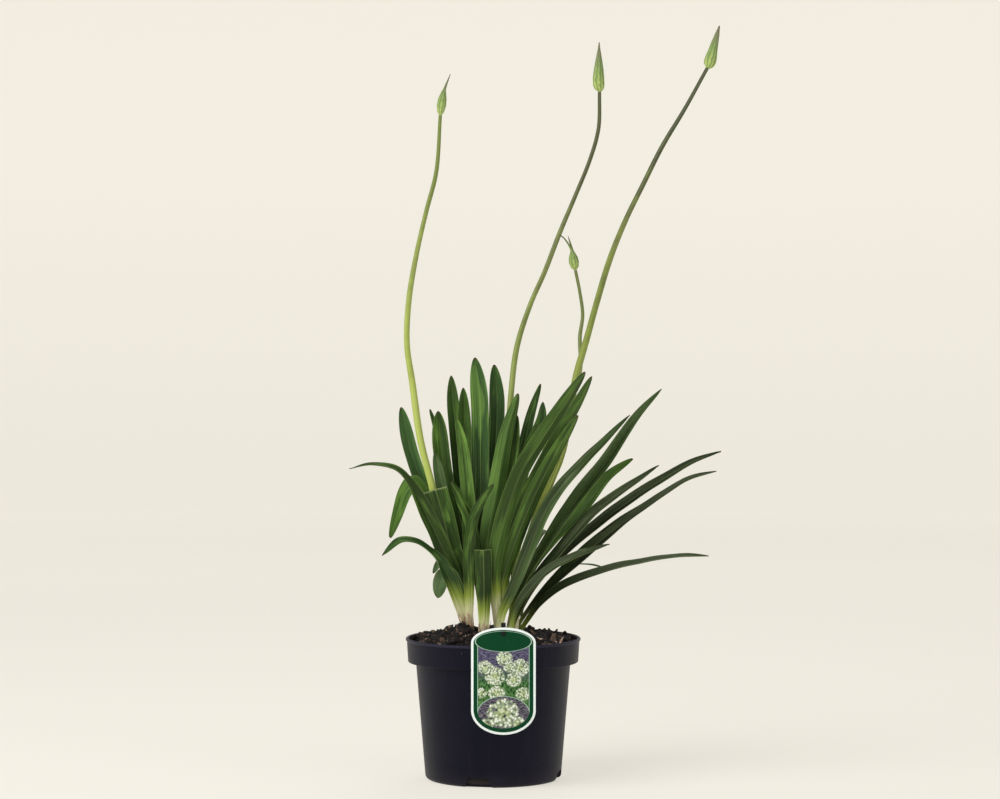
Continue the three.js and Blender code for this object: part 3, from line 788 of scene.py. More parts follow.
@dataclass(frozen=True)
class LabelFinish:
    """A printed card: white border, dark green band, a bare header and a generic flower print."""

    border: float = 0.0025
    band_inset: float = 0.0066
    picture: float = 0.0268
    keyline: float = 0.0274
    floret: float = 560.0
    near_floret: float = 330.0
    white: Colour = paint(238, 246, 246)
    green: Colour = paint(0, 62, 34)
    mint: Colour = paint(168, 200, 180)
    header: Oval = Oval(0.0, 0.0983, 0.0290, 0.0106)
    inset: Oval = Oval(0.0, 0.0225, 0.0270, 0.0178)
    heads: tuple[Oval, ...] = (
        Oval(0.001, 0.0806, 0.0080, 0.0076), Oval(-0.019, 0.0707, 0.0075, 0.0070),
        Oval(-0.009, 0.0618, 0.0098, 0.0092), Oval(0.018, 0.0707, 0.0092, 0.0086),
        Oval(0.0107, 0.0580, 0.0078, 0.0070), Oval(-0.007, 0.0440, 0.0088, 0.0074),
        Oval(0.0205, 0.0430, 0.0070, 0.0066), Oval(-0.0225, 0.0440, 0.0050, 0.0050),
        Oval(0.0060, 0.0715, 0.0060, 0.0056),
    )
    near_heads: tuple[Oval, ...] = (
        Oval(0.0, 0.0225, 0.0160, 0.0145), Oval(0.0150, 0.0105, 0.0085, 0.0080),
        Oval(-0.0160, 0.0120, 0.0065, 0.0060),
    )

    def material(self) -> bpy.types.Material:
        """Builds the material.

        Returns:
            The material.
        """
        pad = Pad("label_print")
        whole, x, _, z = pad.place()
        side, up = x - (LABEL_LOW.x + LABEL_HIGH.x) / 2, z - LABEL_LOW.z
        leafy = pad.grain(pad.point(side, 0.4, up * 0.6), 420.0, 3.0, 0.65)
        stems = pad.grain(pad.point(side * 0.7, 0.9, up * 2.6), 330.0, 3.0, 0.6)
        sky = pad.mix(stems.rise(0.4, 0.65), paint(58, 54, 78), paint(116, 112, 138))
        grass = pad.mix(leafy.rise(0.35, 0.65), paint(16, 58, 28), paint(92, 138, 76))
        close = pad.mix(stems.rise(0.4, 0.62), paint(46, 44, 56), paint(120, 116, 128))
        low_down = (up + (leafy - 0.5) * 0.03).rise(0.074, 0.052)
        art = self._draw_heads(pad, pad.mix(low_down, sky, grass), side, up, self.heads, self.floret)
        close = self._draw_heads(pad, close, side, up, self.near_heads, self.near_floret)
        oval, header = self._inside(side, up, self.inset), self._inside(side, up, self.header)
        print_grain = pad.grain(whole, 2400.0, 1.0)
        card = pad.coat(
            self.green,
            (side.size() < self.picture, pad.coat(art, (oval < 1.06, self.mint), (oval < 1.0, close))),
            ((side.size() < self.keyline) * (side.size() > self.picture), self.mint),
            (self._edge(side, up, self.band_inset) > 1.0, self.green),
            (header < 1.07, self.mint), (header < 1.0, self.green),
            (self._edge(side, up, self.border) > 1.0, self.white),
            (print_grain.rise(0.6, 0.8) * 0.06, self.white))
        pad.set(Base_Color=card, Roughness=0.38 + print_grain * 0.08, Specular_IOR_Level=0.1)
        return pad.material

    @staticmethod
    def _edge(side: Shade, up: Shade, inset: float) -> Shade:
        """How far out a place is on the card's outline drawn in by `inset`; 1 is on it.

        Args:
            side: Distance from the middle line.
            up: Height above the card's foot.
            inset: How far the outline is drawn in.

        Returns:
            Below 1 inside and above 1 outside.
        """
        half = HangingLabel.width / 2 - inset
        above = (up - (HangingLabel.tall - HangingLabel.top_arc)).most(0.0) / (HangingLabel.top_arc - inset)
        below = (HangingLabel.low_arc - up).most(0.0) / (HangingLabel.low_arc - inset)
        return (side / half) * (side / half) + above * above + below * below

    @staticmethod
    def _inside(side: Shade, up: Shade, oval: Oval) -> Shade:
        """How far out a place is on an oval; 1 is on its edge."""
        wide, high = (side - oval.x) / oval.wide, (up - oval.z) / oval.high
        return wide * wide + high * high

    def _draw_heads(self, pad: Pad, under: Shade, side: Shade, up: Shade, heads: Sequence[Oval],
                    cell: float) -> Shade:
        """Prints round flower heads of many small florets over a colour.

        Args:
            pad: The material.
            under: The colour below.
            side: Distance from the middle line.
            up: Height above the card's foot.
            heads: Where the heads are.
            cell: How small the florets are.

        Returns:
            The colour with the heads.
        """
        where = pad.point(side, up, 0.3)
        floret = pad.node("TexVoronoi", {}, {"Vector": where, "Scale": cell}, "Distance")
        ruffle = pad.grain(where, cell * 0.7, 3.0, 0.7) - 0.5
        spread = self._inside(side, up, heads[0])
        for head in heads[1:]:
            spread = spread.least(self._inside(side, up, head))
        petal = pad.coat(
            paint(242, 244, 238), ((floret + ruffle * 0.4).rise(0.2, 0.6), paint(150, 168, 132)),
            (spread.rise(0.35, 0.0) * 0.45, paint(170, 186, 104)))
        edge = (spread + ruffle * 1.5).rise(1.25, 0.95)
        return pad.mix(edge * (floret + ruffle * 0.6).rise(0.84, 0.66), under, petal)


@dataclass(frozen=True)
class FloorFinish:
    """A plain pale studio floor, which glows more towards its far wall."""

    tint: Colour = paint(160, 159, 154)
    cloud: Colour = paint(154, 151, 143)
    near: Colour = paint(202, 198, 188)
    far: Colour = paint(212, 208, 198)

    def material(self) -> bpy.types.Material:
        """Builds the material.

        Returns:
            The material.
        """
        pad = Pad("studio_floor")
        whole, x, y, _ = pad.place()
        cloud = pad.grain(whole, 3.0, 2.0)
        away = (x * x + y * y).rise(0.4, 9.0)
        pad.set(Base_Color=pad.mix(cloud * 0.04, self.tint, self.cloud), Roughness=0.9)
        pad.set(Specular_IOR_Level=0.1, Emission_Color=pad.mix(away, self.near, self.far))
        pad.set(Emission_Strength=1.0)
        return pad.material


# ------------------------------------------------------------------ modelling helpers


def clear_selection() -> None:
    """Leaves edit mode and deselects everything."""
    if bpy.context.object and bpy.context.object.mode != "OBJECT":
        bpy.ops.object.mode_set(mode="OBJECT")
    bpy.ops.object.select_all(action="DESELECT")


def pick_only(piece: Piece) -> None:
    """Selects one object and makes it the active one.

    Args:
        piece: The object.
    """
    clear_selection()
    piece.select_set(True)
    bpy.context.view_layer.objects.active = piece


def settle(piece: Piece) -> None:
    """Moves an object's place, turn and scale into its mesh."""
    pick_only(piece)
    bpy.ops.object.transform_apply(location=True, rotation=True, scale=True)


def apply_modifier(piece: Piece, kind: str, **settings: object) -> None:
    """Adds a modifier and applies it.

    Args:
        piece: The object.
        kind: The modifier's type.
        settings: Its settings.
    """
    pick_only(piece)
    modifier = piece.modifiers.new(kind.lower(), kind)
    for name, value in settings.items():
        setattr(modifier, name, value)
    bpy.ops.object.modifier_apply(modifier=modifier.name)


def pick_faces(piece: Piece, wanted: Callable[[Vector, Vector], bool]) -> None:
    """Goes into edit mode with the faces selected whose middle and normal are wanted.

    Args:
        piece: The object.
        wanted: Says of a face's middle and normal whether it is picked.
    """
    pick_only(piece)
    bpy.ops.object.mode_set(mode="EDIT")
    bpy.ops.mesh.select_all(action="DESELECT")
    bpy.ops.mesh.select_mode(type="FACE")
    bpy.ops.object.mode_set(mode="OBJECT")
    for face in piece.data.polygons:
        face.select = wanted(face.center, face.normal)
    bpy.ops.object.mode_set(mode="EDIT")


def pick_edges(piece: Piece, wanted: Callable[[Vector, Vector], bool]) -> None:
    """Goes into edit mode with the edges selected whose two ends are wanted.

    Args:
        piece: The object.
        wanted: Says of an edge's ends whether it is picked.
    """
    pick_only(piece)
    bpy.ops.object.mode_set(mode="EDIT")
    bpy.ops.mesh.select_mode(type="EDGE")
    bpy.ops.mesh.select_all(action="DESELECT")
    bpy.ops.object.mode_set(mode="OBJECT")
    corners = piece.data.vertices
    for edge in piece.data.edges:
        edge.select = wanted(corners[edge.vertices[0]].co, corners[edge.vertices[1]].co)
    bpy.ops.object.mode_set(mode="EDIT")


def face_outwards(piece: Piece) -> None:
    """Turns the faces of a closed shape outwards.

    Args:
        piece: The shape.
    """
    pick_only(piece)
    bpy.ops.object.mode_set(mode="EDIT")
    bpy.ops.mesh.select_all(action="SELECT")
    bpy.ops.mesh.normals_make_consistent(inside=False)
    bpy.ops.object.mode_set(mode="OBJECT")


def cut_away(piece: Piece, cutter: Piece) -> None:
    """Takes a cutter's shape out of a piece and removes the cutter."""
    apply_modifier(piece, "BOOLEAN", operation="DIFFERENCE", object=cutter, solver="EXACT")
    bpy.data.objects.remove(cutter)


def smooth(piece: Piece, angle: float) -> None:
    """Shades an object smooth, but for edges sharper than an angle in degrees."""
    pick_only(piece)
    bpy.ops.object.shade_smooth_by_angle(angle=math.radians(angle))


def hand_in(piece: Piece, name: str, node: str, skin: bpy.types.Material) -> None:
    """Names a finished piece, dresses it, hangs it on the root body and hides the solid that it replaces.

    Args:
        piece: The object.
        name: Its name.
        node: The solid that it replaces.
        skin: Its material.
    """
    piece.name = piece.data.name = name
    piece.data.materials.clear()
    piece.data.materials.append(skin)
    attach(piece, "root")
    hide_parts(node)
    LOG.info("%s: %d faces", name, len(piece.data.polygons))


def carry_frame(course: Course, places: Sequence[float]) -> list[tuple[Vector, Vector, Vector]]:
    """Carries a cross-section's axes along a course without letting them spin.

    Args:
        course: The course.
        places: Where they are wanted, in rising order.

    Returns:
        The middle and the two axes at each place.
    """
    heading = course.heading(places[0])
    side = heading.orthogonal().normalized()
    frames = []
    for place in places:
        turned = course.heading(place)
        side = heading.rotation_difference(turned) @ side
        side = (side - turned * side.dot(turned)).normalized()
        heading = turned
        frames.append((course.at(place), side, heading.cross(side)))
    return frames


def make_rod(course: Course, rings: int, sides: int, radius: Callable[[float, float], float]) -> Piece:
    """A round rod along a course: a cylinder cut into rings, each then put in its place.

    Args:
        course: The course of its middle line.
        rings: How many rings it is cut into.
        sides: How many sides it has.
        radius: The radius by place along and angle round.

    Returns:
        The rod.
    """
    clear_selection()
    bpy.ops.mesh.primitive_cylinder_add(vertices=sides, radius=1, depth=1, end_fill_type="TRIFAN")
    rod = bpy.context.object
    pick_edges(rod, lambda a, b: abs(a.z - b.z) > 0.5)
    bpy.ops.mesh.subdivide(number_cuts=rings - 1)
    bpy.ops.object.mode_set(mode="OBJECT")
    places = [ring / rings for ring in range(rings + 1)]
    frames = carry_frame(course, places)
    for corner in rod.data.vertices:
        ring = round((corner.co.z + 0.5) * rings)
        middle, side, up = frames[ring]
        angle = math.atan2(corner.co.y, corner.co.x)
        reach = min(corner.co.xy.length, 1.0) * radius(places[ring], angle)
        corner.co = middle + side * (reach * math.cos(angle)) + up * (reach * math.sin(angle))
    face_outwards(rod)
    smooth(rod, 50)
    return rod


# ------------------------------------------------------------------ leaves

BACK, FRONT = (0, 1, 0), (0, -1, 0)
LEFT, LEFT_FRONT = (-0.92, -0.4, 0), (-0.3, -0.95, 0)


class Tip(enum.Enum):
    """How a tip narrows: from which share of the length, and the two powers of its outline."""

    PLAIN = (0.6, 2.4, 0.5)
    BLUNT = (0.86, 2.0, 0.6)
    LONG = (0.58, 1.7, 0.62)
    NEEDLE = (0.6, 1.3, 0.9)


@dataclass(frozen=True)
class Blade:
    """One strap leaf: its tone, width and foot in millimetres, the ways its upper side looks from
    foot to tip, the course of its midrib, its kind of tip, and whether it ends in a cut."""

    name: str
    tone: Tone
    width: float
    foot: Pair
    looks: tuple[Triple, ...]
    rib: tuple[Triple, ...]
    tip: Tip = Tip.PLAIN
    cut: bool = False


@dataclass
class StrapBlade:
    """Models one strap leaf from a flat strip: a shallow channel with a keel, bent to its course."""

    blade: Blade
    rows: int
    drawn: random.Random
    columns: int = 12
    rib_thickness: float = 0.0013
    margin_share: float = 0.42
    tip_share: float = 0.62
    channel: float = 0.33
    flat_foot: float = 0.35
    opens: Pair = (0.1, 0.5)
    foot_share: float = 0.5
    widens: Pair = (0.08, 0.5)
    cut_widens: Pair = (0.08, 0.9)
    groove: float = 0.00022
    groove_width: float = 0.1
    ruffle: float = 0.00045
    ruffles: Pair = (0.25, 0.6)
    waves: Pair = (19, 43)
    ragged: float = 0.0
    turn_from: float = 0.15
    turn_over: float = 0.6
    row_crowding: float = 1.35
    least_half: float = 0.00035

    def width_share(self, place: float) -> float:
        """Width as a share of the greatest, from foot (0) to tip (1).

        Args:
            place: The place along.

        Returns:
            The share.
        """
        spread = smooth_step(place, *(self.cut_widens if self.blade.cut else self.widens))
        grown = blend(self.foot_share, 1.0, spread)
        start, bow, fall = self.blade.tip.value
        if self.blade.cut or place < start:
            return grown
        return grown * max(0.0, 1 - ((place - start) / (1 - start)) ** bow) ** fall

    def look(self, place: float) -> Vector:
        """The way the upper side looks at a place, turning gently from one to the next.

        Args:
            place: The place along.

        Returns:
            The direction.
        """
        looks = self.blade.looks
        turns = len(looks) - 1
        run = min(max((place - self.turn_from) / self.turn_over, 0.0), 1.0) * turns
        before = min(int(run), max(turns - 1, 0))
        after = min(before + 1, turns)
        return Vector(looks[before]).lerp(Vector(looks[after]), smooth_step(run - before, 0, 1))

    def make(self) -> Piece:
        """Models the leaf.

        Returns:
            The leaf, in its place.
        """
        course = shoot_course(self.blade.foot, self.blade.rib)
        clear_selection()
        bpy.ops.mesh.primitive_grid_add(x_subdivisions=self.columns, y_subdivisions=self.rows, size=2)
        leaf = bpy.context.object
        ends = [1 - self.ragged * self.drawn.random() for _ in range(self.columns + 1)]
        phase = self.drawn.random() * math.tau
        weights = leaf.vertex_groups.new(name="thickness")
        frames = [self._frame(course, row / self.rows) for row in range(self.rows + 1)]
        for corner in leaf.data.vertices:
            side = corner.co.x
            column = round((side + 1) / 2 * self.columns)
            share = (corner.co.y + 1) / 2
            row = round(share * self.rows)
            frame = self._frame(course, share * ends[column]) if self.ragged else frames[row]
            corner.co = self._spot(frame, side, phase)
            thickness = blend(1.0, self.margin_share, abs(side) ** 1.5) * blend(1.0, self.tip_share, share)
            weights.add([corner.index], thickness, "REPLACE")
        apply_modifier(leaf, "SOLIDIFY", thickness=self.rib_thickness, offset=-1.0,
                       vertex_group="thickness", use_even_offset=False)
        chances = leaf.data.attributes.new("chance", "FLOAT", "POINT")
        chances.data.foreach_set("value", [self.drawn.random()] * len(leaf.data.vertices))
        smooth(leaf, 45)
        return leaf

    def _frame(self, course: Course, share: float) -> tuple[float, Vector, Vector, Vector]:
        """The frame that a row is set in; the rows crowd towards a pointed tip.

        Args:
            course: The course of the midrib.
            share: The share of the rows.

        Returns:
            The place, the middle and the sideways and upward directions.
        """
        place = share if self.blade.cut else 1 - (1 - share) ** self.row_crowding
        heading = course.heading(place)
        across = heading.cross(self.look(place)).normalized()
        return place, course.at(place), across, across.cross(heading)

    def _spot(self, frame: tuple[float, Vector, Vector, Vector], side: float, phase: float) -> Vector:
        """Where a point of the upper face lies.

        Args:
            frame: The place, middle and directions of its row.
            side: From -1 at one margin to 1 at the other.
            phase: Where the margin's slow wave starts.

        Returns:
            The point.
        """
        place, middle, across, up = frame
        half = max(self.blade.width * MM / 2 * self.width_share(place), self.least_half)
        opening = blend(self.flat_foot, 1.0, smooth_step(place, *self.opens))
        lift = half * self.channel * opening * abs(side) ** 1.15
        lift -= self.groove * math.exp(-(side / self.groove_width) ** 2)
        slow, quick = self.waves
        wave = math.sin(place * slow + phase) + 0.5 * math.sin(place * quick + phase * 2)
        lift += self.ruffle * wave * abs(side) ** 2.5 * smooth_step(place, *self.ruffles)
        return middle + across * (side * half) + up * lift


BLADES = (
    Blade("left_leaf_01", Tone.DEEP, 12, (-26, -10.2), (BACK, (0.3, 0.9, 0.2)),
          ((-26, -19, 205), (-27, -21, 237), (-26, -22, 262), (-20, -24, 288), (-10, -26, 306),
           (0, -28, 321))),
    Blade("left_leaf_02", Tone.BLUE, 17, (-27, -8), (FRONT, (0.3, -0.8, 0.5), (0.2, -0.4, 0.9)),
          ((-45, -19, 213), (-57, -26, 235), (-70, -38, 251), (-84, -46, 260), (-99, -54, 261),
           (-118, -64, 247)), tip=Tip.LONG),
    Blade("left_leaf_03", Tone.GREY, 17, (-27, -5.8), (FRONT, (0, -0.75, 0.65), (-0.4, -0.9, -0.15)),
          ((-38, -10, 203), (-46, -12, 223), (-53, -13, 221), (-60, -15, 197)), tip=Tip.BLUNT),
    Blade("left_leaf_04", Tone.DEEP, 18, (-27, -3.6), (FRONT, FRONT, (0.1, -0.75, 0.65), (0.1, -0.5, 0.85)),
          ((-41, -3, 218), (-52, -8, 244), (-66, -14, 275), (-80, -20, 303), (-92, -26, 324),
           (-105, -32, 337), (-130, -42, 343), (-153, -54, 339)), tip=Tip.NEEDLE),
    Blade("left_leaf_05", Tone.CUT_MID, 26, (-27, -1.4), (FRONT,),
          ((-37, 0, 221), (-47, -1, 254), (-55, -2, 286), (-63, -3, 314)), cut=True),
    Blade("left_leaf_11", Tone.LIGHT, 15, (-27, 10.6), (FRONT,),
          ((-26.4, 10.7, 190), (-27.6, 8, 219), (-27, 3.6, 245), (-26, 2.8, 262), (-27, 2.8, 301),
           (-30, 3.4, 333), (-34, 5, 366), (-40, 7, 391))),
    Blade("left_leaf_06", Tone.GREY, 12, (-28, 12.5), (FRONT, (0, -0.5, 0.85), (-0.5, -0.8, 0)),
          ((-42, 15, 214), (-51, 16, 238), (-58, 17, 233), (-66, 18, 221))),
    Blade("left_leaf_07", Tone.GREY, 12, (-28, 14.7), (FRONT,),
          ((-39, 19, 235), (-51, 21, 290), (-59, 24, 328), (-64, 28, 353)), tip=Tip.BLUNT),
    Blade("left_leaf_08", Tone.MID, 19, (-28, 16.9), (FRONT, (0, -0.55, 0.84), (-0.5, -0.85, -0.1)),
          ((-42, 23.5, 225), (-59, 26, 274), (-75, 24.4, 308.5), (-86, 24.4, 320.6),
           (-95, 25.4, 311), (-104, 27.4, 286), (-113, 30, 259))),
    Blade("left_leaf_09", Tone.BLUE, 15, (-28, 19.1), (FRONT,),
          ((-47, 31, 241), (-62, 35, 279), (-76, 38, 312), (-91, 45, 355), (-102, 54, 402)), tip=Tip.BLUNT),
    Blade("left_leaf_10", Tone.MID, 18, (-27, 21.3), (FRONT,),
          ((-35, 33, 235), (-45, 38, 279), (-53, 42, 323), (-58, 46, 361), (-61, 52, 398)), tip=Tip.BLUNT),
    Blade("left_leaf_12", Tone.MID, 14, (-26, 25.7), (FRONT,),
          ((-32, 49, 267), (-40, 60, 355), (-45, 66, 410), (-47, 73, 437)), tip=Tip.BLUNT),
    Blade("left_leaf_13", Tone.DEEP, 10, (-27, 27.9), (FRONT,),
          ((-38, 55, 267), (-51, 69, 332), (-61, 77, 369), (-71, 88, 399))),
    Blade("left_leaf_14", Tone.MID, 16, (-27, 30.1), (FRONT, (0, -0.6, 0.8)),
          ((-31, 47, 215), (-38, 68, 262), (-46, 92, 292), (-53, 118, 306), (-58, 140, 302))),
    Blade("front_leaf_01", Tone.CUT_DEEP, 18, (-10, -18), (BACK,),
          ((-10, -23, 217), (-11, -27, 250)), cut=True),
    Blade("front_leaf_02", Tone.DEEP, 14, (-10, -15.8), (BACK, (-0.3, 0.9, 0.2)),
          ((-12, -14, 200), (-17, -11, 238), (-25, -11, 280), (-35, -13, 304), (-45, -15, 323))),
    Blade("front_leaf_03", Tone.LIGHT, 18, (-10, -13.6), (BACK,),
          ((-9, -5.5, 200), (-7, -5, 238), (-5, -4, 270), (3, -2, 313), (14, -1, 373), (27, 0, 418))),
    Blade("front_leaf_04", Tone.DEEP, 14, (-10, -5), (FRONT,),
          ((-5, 2, 237), (3, 3, 280), (16, 4, 323), (23, 5, 361), (26, 5, 394))),
    Blade("front_leaf_05", Tone.BLUE, 19, (-10, -2.8), (FRONT,),
          ((-13, 9, 259), (-14, 12, 335), (-15, 15, 411), (-20, 18, 457)), tip=Tip.BLUNT),
    Blade("front_leaf_06", Tone.DEEP, 14, (-10, -0.6), (FRONT,),
          ((-19, 15, 258), (-26, 22, 323), (-31, 29, 378), (-33, 34, 424)), tip=Tip.BLUNT),
    Blade("front_leaf_07", Tone.BLUE, 17, (-10, 1.6), (FRONT,),
          ((-5, 20, 258), (1, 30, 334), (4, 40, 410), (1, 46, 449)), tip=Tip.BLUNT),
    Blade("middle_leaf_01", Tone.HEART, 19, (6, -7.4), (BACK, (-0.3, 0.9, 0.2)),
          ((1, -14, 221), (4, -19, 251), (13, -26, 288), (30, -35, 334), (63, -47, 388),
           (98, -58, 442))),
    Blade("middle_leaf_02", Tone.HEART, 17, (6, -5.2), (BACK, (-0.3, 0.9, 0.2)),
          ((8, -8, 206), (21, -13, 250), (35, -18, 287), (53, -24, 327), (72, -30, 363),
           (91, -37, 395))),
    Blade("middle_leaf_03", Tone.HEART, 16, (6, -3), (BACK, (-0.3, 0.9, 0.2)),
          ((12, -3, 215), (22, -6, 268), (43, -11, 319), (67, -18, 365), (88, -24, 402),
           (106, -30, 437))),
    Blade("middle_leaf_04", Tone.DEEP, 12, (6, 14.2), (FRONT,),
          ((8, 16, 219), (17, 17, 290), (27, 18, 334), (38, 19, 361), (48, 20, 384))),
    Blade("middle_leaf_05", Tone.BLUE, 13, (6, 16.4), (FRONT,),
          ((10, 20, 219), (18, 24, 290), (31, 29, 350), (41, 34, 394), (52, 38, 428))),
    Blade("middle_leaf_06", Tone.BLUE, 13, (6, 18.6), (FRONT,),
          ((11, 26, 219), (23, 38, 290), (40, 48, 355), (53, 55, 388), (55, 60, 408)), tip=Tip.BLUNT),
    Blade("middle_leaf_07", Tone.MID, 16, (6, 20.8), (FRONT, FRONT, (0, -0.5, 0.85)),
          ((8, 34, 219), (12, 54, 280), (16, 78, 328), (20, 105, 356))),
    Blade("right_leaf_01", Tone.SHADE, 17, (7, -10.6), (LEFT_FRONT, (-0.5, -0.65, 0.55)),
          ((9, -13, 178), (14, -15.5, 191), (25, -18, 216), (34, -19, 238), (56, -19, 290),
           (74, -18, 317), (100, -14, 345), (125, -8, 371), (148, -4, 395)), tip=Tip.LONG),
    Blade("right_leaf_02", Tone.SHADE, 19, (16, -7), (LEFT, (-0.5, -0.75, 0.5)),
          ((23, -10.4, 190), (36, -13, 220), (63, -10, 263), (90, -5, 302), (123, 0, 344),
           (153, 4, 388), (183, 6, 423)), tip=Tip.LONG),
    Blade("right_leaf_04", Tone.NIGHT, 17, (19.2, -8.2), (LEFT, (-0.5, -0.6, 0.65)),
          ((31, -14, 190), (46, -15, 217), (72, -12, 247), (108, -8, 288), (144, -10, 315),
           (179, -16, 341)), tip=Tip.LONG),
    Blade("right_leaf_07", Tone.NIGHT, 16, (20.4, -16), (LEFT, (-0.45, -0.45, 0.75)),
          ((23, -20.6, 178), (31, -26, 196), (43, -28, 211), (60, -28, 228), (82, -30, 240),
           (106, -32, 250), (125, -34, 257)), tip=Tip.LONG),
    Blade("right_leaf_03", Tone.MID, 18, (17.6, 11), (LEFT, (-0.5, -0.7, 0.5)),
          ((40, 17, 219), (66, 24, 257), (95, 30, 285), (126, 40, 325), (154, 48, 345))),
    Blade("right_leaf_05", Tone.NIGHT, 16, (21, 11), (LEFT, (-0.45, -0.6, 0.65)),
          ((34.8, 12, 189.7), (50, 12, 213.8), (77, 12, 243), (124, 12, 283), (178, 10, 320),
           (218, 8, 344), (248, 6, 355)), tip=Tip.LONG),
    Blade("right_leaf_06", Tone.NIGHT, 18, (25, 11), (LEFT, (-0.45, -0.7, 0.55), (-0.45, -0.35, 0.8)),
          ((45, 17, 189), (83, 23, 227), (134, 30, 269), (186, 38, 305), (214, 42, 322),
           (246, 46, 332)), tip=Tip.LONG),
    Blade("right_leaf_08", Tone.NIGHT, 15, (30.2, 5), (LEFT, (-0.3, -0.3, 0.9)),
          ((41, 1, 177), (54, -1, 193), (77, -3, 210), (109, -4, 222), (157, -12, 235),
           (196, -20, 242), (232, -28, 244)), tip=Tip.LONG),
    Blade("right_leaf_09", Tone.GREY, 6, (29, 27), (LEFT, (0, 0, 1)),
          ((38, 28, 200), (59, 34, 227), (86, 40, 230), (107, 44, 229), (127, 48, 224)), tip=Tip.NEEDLE),
    Blade("right_leaf_10", Tone.MID, 15, (22, 31), (FRONT, (-0.2, -0.5, 0.85)),
          ((30, 50, 210), (43, 76, 247), (58, 104, 262), (70, 130, 254))),
)

SHEATHS = (
    Blade("dry_sheath_front", Tone.GREY, 15, (-28, -12.6), (BACK,),
          ((-28.5, -16.5, 172), (-31, -23, 184)), cut=True),
    Blade("dry_sheath_side", Tone.GREY, 13, (-10, -20.6), (BACK,),
          ((-9.6, -23, 167), (-7, -27, 175)), cut=True),
)


@dataclass
class LeafShoots:
    """The four shoots of strap leaves and the dry sheaths at the foot of two of them."""

    rows: int = 72
    cut_rows: int = 40
    sheath_seed: int = SEED + 100

    def make(self) -> None:
        """Models and dresses every leaf and sheath."""
        skins = {tone: tone.value.material() for tone in Tone}
        for index, blade in enumerate(BLADES):
            rows = self.cut_rows if blade.cut else self.rows
            leaf = StrapBlade(blade, rows=rows, drawn=random.Random(SEED + index)).make()
            hand_in(leaf, blade.name + "_fine", blade.name, skins[blade.tone])
        for index, (blade, paper) in enumerate(zip(SHEATHS, (RED_PAPER, PALE_PAPER))):
            drawn = random.Random(self.sheath_seed + index)
            sheath = StrapBlade(blade, rows=30, columns=18, rib_thickness=0.0007, channel=0.5,
                                ragged=0.42, ruffle=0.0016, drawn=drawn).make()
            hand_in(sheath, blade.name + "_fine", blade.name, paper.material())


# ------------------------------------------------------------------ stalks and buds


@dataclass(frozen=True)
class Stem:
    """One flower stalk and its bud: foot, radii at foot, middle and top, course, the bud's course on
    from the stalk with (place, radius) pairs, and the strand at its side. Millimetres."""

    name: str
    foot: Pair
    radii: Triple
    path: tuple[Triple, ...]
    bud_path: tuple[Triple, ...]
    bud_radii: tuple[Pair, ...]
    strand: tuple[Triple, ...] = ()


STALK_TINTS = {
    "left": (paint(172, 188, 70), paint(172, 188, 86), paint(112, 128, 52)),
    "middle": (paint(146, 162, 64), paint(128, 144, 60), paint(66, 70, 34)),
    # The right stalk's low colour is lightened to make up for the shade that the leaves cast on its foot:
    # painted light.
    "right": (paint(230, 250, 154), paint(130, 146, 52), paint(50, 56, 24)),
    "short": (paint(206, 218, 116), paint(154, 168, 80), paint(104, 116, 56)),
}

STEMS = (
    Stem("left", (-27, 4.5), (4.2, 3.9, 1.9),
         ((-45, 6.6, 236), (-58, 7, 280), (-66, 8, 315), (-79, 9, 366), (-88, 10, 429), (-94, 12, 472),
          (-92, 14, 519), (-84, 15, 568), (-73, 14, 616), (-62, 12, 659), (-57.5, 10, 720.5)),
         ((-56, 10, 733), (-53, 9, 748), (-46.5, 8, 765)),
         ((0, 1.8), (0.08, 3.8), (0.22, 5.1), (0.38, 4.6), (0.52, 3), (0.62, 1.5), (1, 0.3))),
    Stem("middle", (6, 7.5), (3.6, 3.3, 1.9),
         ((7, 9, 235), (11, 11, 301), (15, 15, 356), (19, 20, 412), (26, 25, 469), (41, 28, 516),
          (56, 30, 550), (73, 30, 594), (89, 28, 632), (106, 25, 674), (115, 22, 707), (116, 20, 747)),
         ((115, 20, 757), (115.2, 20, 776), (115.6, 20, 801)),
         ((0, 2.2), (0.06, 5.2), (0.14, 6.4), (0.28, 6.2), (0.45, 5.2), (0.6, 4), (0.75, 2.6), (0.88, 1.3),
          (1, 0.4))),
    Stem("right", (23, 0.5), (4.2, 4, 1.9),
         ((28, -1, 205), (36, -3, 248), (45, -5, 279), (54, -7, 302), (63, -7, 324), (75, -7, 355),
          (90, -8, 437), (101, -15, 477), (113, -20, 521), (126, -26, 564), (142, -31, 604),
          (161, -35, 643), (181, -38, 683), (205, -40, 723), (228.7, -42, 766)),
         ((231.6, -42, 773), (236, -43, 790), (241.5, -44, 811)),
         ((0, 2.1), (0.07, 5.6), (0.15, 6.6), (0.26, 6.2), (0.4, 5), (0.6, 3.9), (0.8, 2.5), (0.93, 1.3),
          (1, 0.6))),
    Stem("short", (20, 24), (3.4, 3.3, 1.7),
         ((24, 26, 230), (40, 26, 300), (62, 25, 370), (94, 24, 437), (95, 26, 481), (98, 28, 503),
          (95, 29, 528), (90, 29, 553)),
         ((88, 29, 564), (86, 29, 576), (82, 28, 590)),
         ((0, 1.8), (0.08, 4.4), (0.22, 5.6), (0.36, 4.9), (0.47, 3.2), (0.57, 1.6), (1, 0.3)),
         ((86.5, 29, 571), (84.5, 27, 577), (81.3, 25, 582.5), (77, 24, 588), (72.9, 24, 591))),
)


